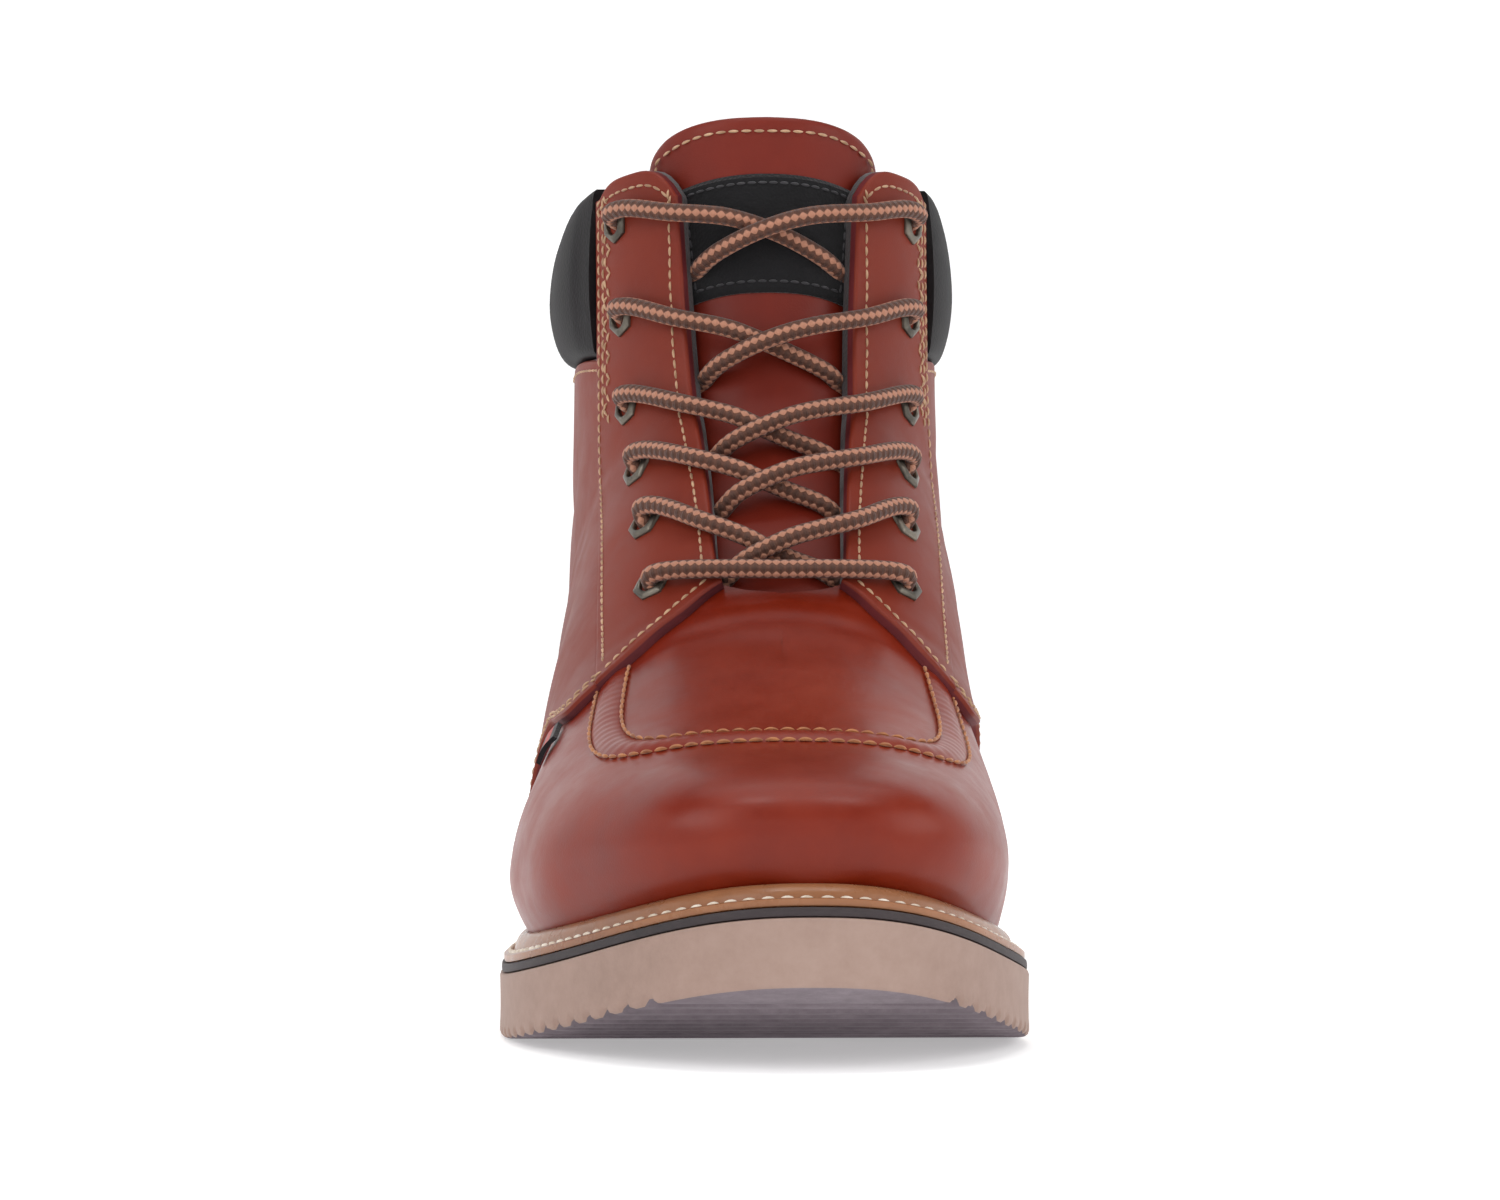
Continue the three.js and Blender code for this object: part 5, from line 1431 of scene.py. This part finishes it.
@dataclass
class Lacing:
    """Eyelets down both eyestays and the one lace through them."""

    pairs: int = 6
    pitch: float = 23.1
    top_drop: float = 11.0
    inset: float = 13.2
    across: float = 9.4
    bore: float = 5.0
    barrel: float = 6.2
    face: float = 2.85
    diameter: float = 4.3
    rises: tuple[float, ...] = (9.0, 3.8, 1.8, 4.0, 2.0)
    bar_rise: float = 1.6
    leave: float = 2.6

    def seats(self, side: int) -> list[Seat]:
        """Seats a pitch apart along the eyestay, measured down from its top."""
        row = np.arange(LAST.collar_row, LAST.throat_row, -0.01)
        half = LAST.throat_half(row) + self.inset
        girth = LAST.girth_at(side, row, half)
        points = LAST.point(side, row, girth)
        distance = travelled(points)
        found = [int(np.searchsorted(distance, self.top_drop + k * self.pitch)) for k in range(self.pairs)]
        normals = LAST.normal(side, row, girth)
        return [Seat(float(row[k]), float(half[k]), points[k], normals[k]) for k in found]

    def eyelets(self, side: int, seats: list[Seat]) -> list[bpy.types.Object]:
        """Six-sided flanges: each ring of points blends from the round bore to a hexagon with
        soft corners, and its height follows a low bead."""
        turn = np.linspace(0, 2 * np.pi, 72, endpoint=False)
        within = (turn + np.pi / 6) % (np.pi / 3) - np.pi / 6
        hexagon = self.across / 2 * (np.cos(np.pi / 6) / np.cos(np.pi / 6 - np.abs(within))) ** 0.92
        profile = [(0.0, -3.4), (0.0, 0.55), (0.06, 0.95), (0.16, 1.15), (0.3, 1.2), (0.6, 1.0), (0.86, 0.78),
                   (0.97, 0.6), (1.0, 0.3), (1.0, -0.1), (0.3, -0.1), (0.28, -3.4)]
        name = Side(side).name.lower()
        made = []
        for number, seat in enumerate(seats, 1):
            radius = np.stack([mix(self.bore / 2, hexagon, share) for share, _ in profile])
            height = np.array([level for _, level in profile])[:, None] + self.face + 0 * radius
            sideways = unit(np.cross(np.array([0.0, 0.0, 1.0]), seat.normal))
            upright = np.cross(seat.normal, sideways)
            points = (seat.point + radius[..., None] * (np.cos(turn)[None, :, None] * upright
                                                        + np.sin(turn)[None, :, None] * sideways)
                      + height[..., None] * seat.normal)
            points, faces = closed_grid(points, joined_ends=True)
            piece = mesh_object(f"hex_eyelet_{name}_{number}", points, outward(points, faces), [finish("eyelet")])
            made.append(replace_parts(piece, f"eyelet_{name}_{number}"))
        return made

    def over(self, height: Array, across: Array, hump: Array) -> tuple[Array, Array]:
        """Points of a run at given heights and distances from the ridge line, lifted off the
        upper by its hump, and the reference directions there."""
        side = np.where(across < 0, -1.0, 1.0)
        rows = np.linspace(LAST.throat_row - 0.6, LAST.collar_row + 0.8, 260)
        reach = np.abs(across)[:, None] + 0 * rows[None]
        level = LAST.point(side[:, None], rows[None], LAST.girth_at(side[:, None], rows[None], reach))[..., 2]
        row = np.array([np.interp(want, line, rows) for want, line in zip(height, level)])
        girth = LAST.girth_at(side, row, np.abs(across))
        points = LAST.point(side, row, girth) + LAST.normal(side, row, girth) * hump[:, None]
        step = LAST.point(side, row + 0.1, girth) - LAST.point(side, row - 0.1, girth)
        return points, unit(step)

    def run(self, start: Seat, end: Seat, side: int, on_top: bool, rise: float) -> tuple[Array, Array]:
        """One run: up through an eyelet, across the throat, under the far edge to the next. Its
        height is the straight line between the two eyelets plus a parabola for the tongue."""
        throat = float(LAST.throat_half(np.array(end.row)))
        whole = start.half + end.half
        across = np.array([start.half, start.half, start.half - 0.6, start.half - 4.5, throat + 1.5, throat * 0.55,
                           throat * 0.2, -throat * 0.2, -throat * 0.6, -throat + 3.2, -throat + 0.2, -throat - 3.5,
                           -end.half + 3.5, -end.half + 0.5])
        share = (start.half - across) / whole
        height = (mix(start.point[2], end.point[2], share) + rise * 4 * share * (1 - share)
                  + self.leave * np.exp(-(((across - start.half + 3) / 5) ** 2)) * (np.arange(14) > 1))
        hump = np.array([-4.0, 1.0, 5.4, 6.2, 5.4, 2.6, 0.2, -1.4, -1.9, -2.5, -4.0, -5.2, -5.7, -5.2])
        if on_top:
            hump = hump + np.array([0, 0, 0, 0.2, 0.7, 2.4, 4.3, 4.3, 2.6, 1.0, 0.2, 0, 0, 0])
        return self.over(height, side * across, hump)

    def lace(self, lateral: list[Seat], medial: list[Seat]) -> bpy.types.Object:
        """The whole lace: down one zigzag, over the bottom bar and back up the other."""
        first, second = [], []
        for number in range(self.pairs - 1):
            pair = {-1: lateral, 1: medial}
            side = -1 if number % 2 == 0 else 1
            first.append(self.run(pair[side][number], pair[-side][number + 1], side, side == 1, self.rises[number]))
            second.append(self.run(pair[-side][number], pair[side][number + 1], -side, side == -1, self.rises[number]))
        left, right = lateral[-1], medial[-1]
        across = np.array([-left.half, -left.half, -left.half + 0.8, -left.half + 5, -10.0, 0.0, 10.0,
                           right.half - 5, right.half - 0.8, right.half, right.half])
        share = (across + left.half) / (left.half + right.half)
        height = mix(left.point[2], right.point[2], share) + self.bar_rise * (4 * share * (1 - share)) ** 0.6
        bar = self.over(height, across, np.array([-4.0, 1.0, 5.4, 6.2, 5.2, 4.8, 5.2, 6.2, 5.4, 1.0, -4.0]))
        if (self.pairs - 1) % 2 == 1:
            bar = (bar[0][::-1], bar[1][::-1])
        chain = first + [bar] + [(points[::-1], steps[::-1]) for points, steps in second[::-1]]
        points = np.concatenate([points for points, _ in chain])
        steps = np.concatenate([steps for _, steps in chain])
        points, steps = points[1:-1], steps[1:-1]
        keys = travelled(points)
        keep = np.concatenate([[True], np.diff(keys) > 0.3])
        points, steps = points[keep], steps[keep]
        keys = travelled(points)
        even = np.linspace(0, keys[-1], int(keys[-1] / 0.8))
        line = hermite(keys, points, even)
        line[1:-1] = (line[:-2] + 2 * line[1:-1] + line[2:]) / 4
        reference = unit(along(steps, np.interp(even, keys, np.arange(len(keys)))))
        sides = 16
        turn = np.arange(sides) * 2 * np.pi / sides
        circle = np.stack([np.cos(turn), np.sin(turn)], 1) * self.diameter / 2
        rings = sweep(line, reference, circle)
        points, faces = closed_grid(rings)
        count = (len(rings) - 1) * sides
        i, j = np.divmod(np.arange(count), sides)
        u = np.stack([i, i, i + 1, i + 1], 1) * (keys[-1] / (len(rings) - 1))
        v = np.stack([j, j + 1, j + 1, j], 1) / sides
        uv = np.stack([u, v], -1)
        turned = outward(points, faces)
        if (turned[0] != faces[0]).any():
            uv = uv[:, ::-1]
        flat = np.concatenate([uv.reshape(-1, 2), np.zeros((6 * sides, 2))])
        piece = mesh_object("braided_lace", points, polygons_of(turned), [finish("lace")], uv=flat)
        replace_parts(piece, *[f"lace_crossing_{k}" for k in range(1, self.pairs)], "lace_bar")
        log.info("lace: %.0f mm modelled", keys[-1])
        return piece

    def build(self) -> list[bpy.types.Object]:
        """Eyelets and lace."""
        lateral, medial = self.seats(-1), self.seats(1)
        return [*self.eyelets(-1, lateral), *self.eyelets(1, medial), self.lace(lateral, medial)]


@dataclass
class Studio:
    """Pale floor, soft lights and the camera in front of the toe."""

    focal_pixels: float = 4360.0
    distance: float = 1.015
    height: float = 0.085
    yaw: float = 1.7
    centre: tuple[float, float] = (752.0, 646.6)

    def camera(self) -> None:
        """Level camera with the photograph's angle; the shift only frames the boot."""
        data = bpy.data.cameras.new("front_camera")
        data.sensor_width = 36.0
        data.lens = self.focal_pixels * 36.0 / 1500
        data.shift_x = (750 - self.centre[0]) / 1500
        data.shift_y = (self.centre[1] - 600) / 1500
        data.clip_start, data.clip_end = 0.05, 20
        camera = bpy.data.objects.new("front_camera", data)
        turn = math.radians(self.yaw)
        camera.location = (-self.distance * math.sin(turn), -self.distance * math.cos(turn), self.height)
        camera.rotation_euler = (math.pi / 2, 0, -turn)
        bpy.context.scene.collection.objects.link(camera)
        bpy.context.scene.camera = camera

    def light(self, name: str, place_at: tuple[float, float, float], size: float, power: float,
              colour: str = "#FFFFFF") -> None:
        """One square soft light aimed at the middle of the boot."""
        data = bpy.data.lights.new(name, "AREA")
        data.size, data.energy, data.color = size, power, linear_hex(colour)[:3]
        lamp = bpy.data.objects.new(name, data)
        lamp.location = place_at
        lamp.rotation_euler = (Vector((0, -0.02, 0.09)) - Vector(place_at)).to_track_quat("-Z", "Y").to_euler()
        bpy.context.scene.collection.objects.link(lamp)

    def floor(self) -> bpy.types.Object:
        """Pale floor, a disc that runs up into a wall all round as a quarter circle."""
        turn = np.linspace(0, np.pi / 2, 24)
        radius = np.concatenate([[0.0, 1.0, 2.0], 3.0 + 1.5 * np.sin(turn), [4.5]])
        height = np.concatenate([[0.0, 0.0, 0.0], 1.5 - 1.5 * np.cos(turn), [4.0]])
        around = np.linspace(0, 2 * np.pi, 96, endpoint=False)
        rings = np.stack([radius[:, None] * np.cos(around), radius[:, None] * np.sin(around),
                          height[:, None] + 0 * around], -1)
        first, faces, _ = weld(rings.reshape(-1, 3), grid_faces(len(radius), 96, closed=True), 1e-6)
        mesh = bpy.data.meshes.new("floor")
        mesh.from_pydata(rings.reshape(-1, 3)[first].tolist(), [], polygons_of(faces))
        mesh.polygons.foreach_set("use_smooth", np.ones(len(mesh.polygons), bool))
        plain, _, _ = blank_material("pale_studio_paper", Base_Color=linear_hex("#F6F6F6"), Roughness=0.9,
                                     Emission_Color=linear_hex("#FFFFFF"), Emission_Strength=0.35)
        mesh.materials.append(plain)
        piece = bpy.data.objects.new("floor", mesh)
        bpy.context.scene.collection.objects.link(piece)
        return piece

    def build(self) -> None:
        """Camera, floor, lights and the pale surroundings."""
        self.camera()
        self.floor()
        self.light("left_softbox", (-1.3, -1.1, 1.5), 1.2, 11)
        self.light("right_softbox", (1.5, -0.9, 1.2), 1.2, 8)
        self.light("top_softbox", (0.0, 0.3, 1.9), 1.4, 8)
        self.light("toe_left_spot", (-0.28, -0.5, 1.85), 0.3, 3.2)
        self.light("toe_right_spot", (0.32, -0.5, 1.85), 0.3, 2.6)
        world = bpy.data.worlds.new("surroundings")
        world.use_nodes = True
        background = world.node_tree.nodes["Background"]
        background.inputs["Color"].default_value = linear_hex("#FAFAFC")
        background.inputs["Strength"].default_value = 0.27
        scene = bpy.context.scene
        scene.world = world
        scene.view_settings.view_transform = "Standard"


def main() -> None:
    """Builds the boot piece by piece."""
    logging.basicConfig(level=logging.INFO, format="%(name)s: %(message)s")
    Studio().build()
    assemblies = [Sole(), Upper(), Quarter(-1), Quarter(1), Eyestay(-1), Eyestay(1), PaddedCollar(), MocSeam(),
                  Tongue(), FoldedTag(), Lacing()]
    for assembly in assemblies:
        for piece in assembly.build():
            log.info("%s: %d faces", piece.name, len(piece.data.polygons))
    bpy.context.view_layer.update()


if __name__ == "__main__":
    main()
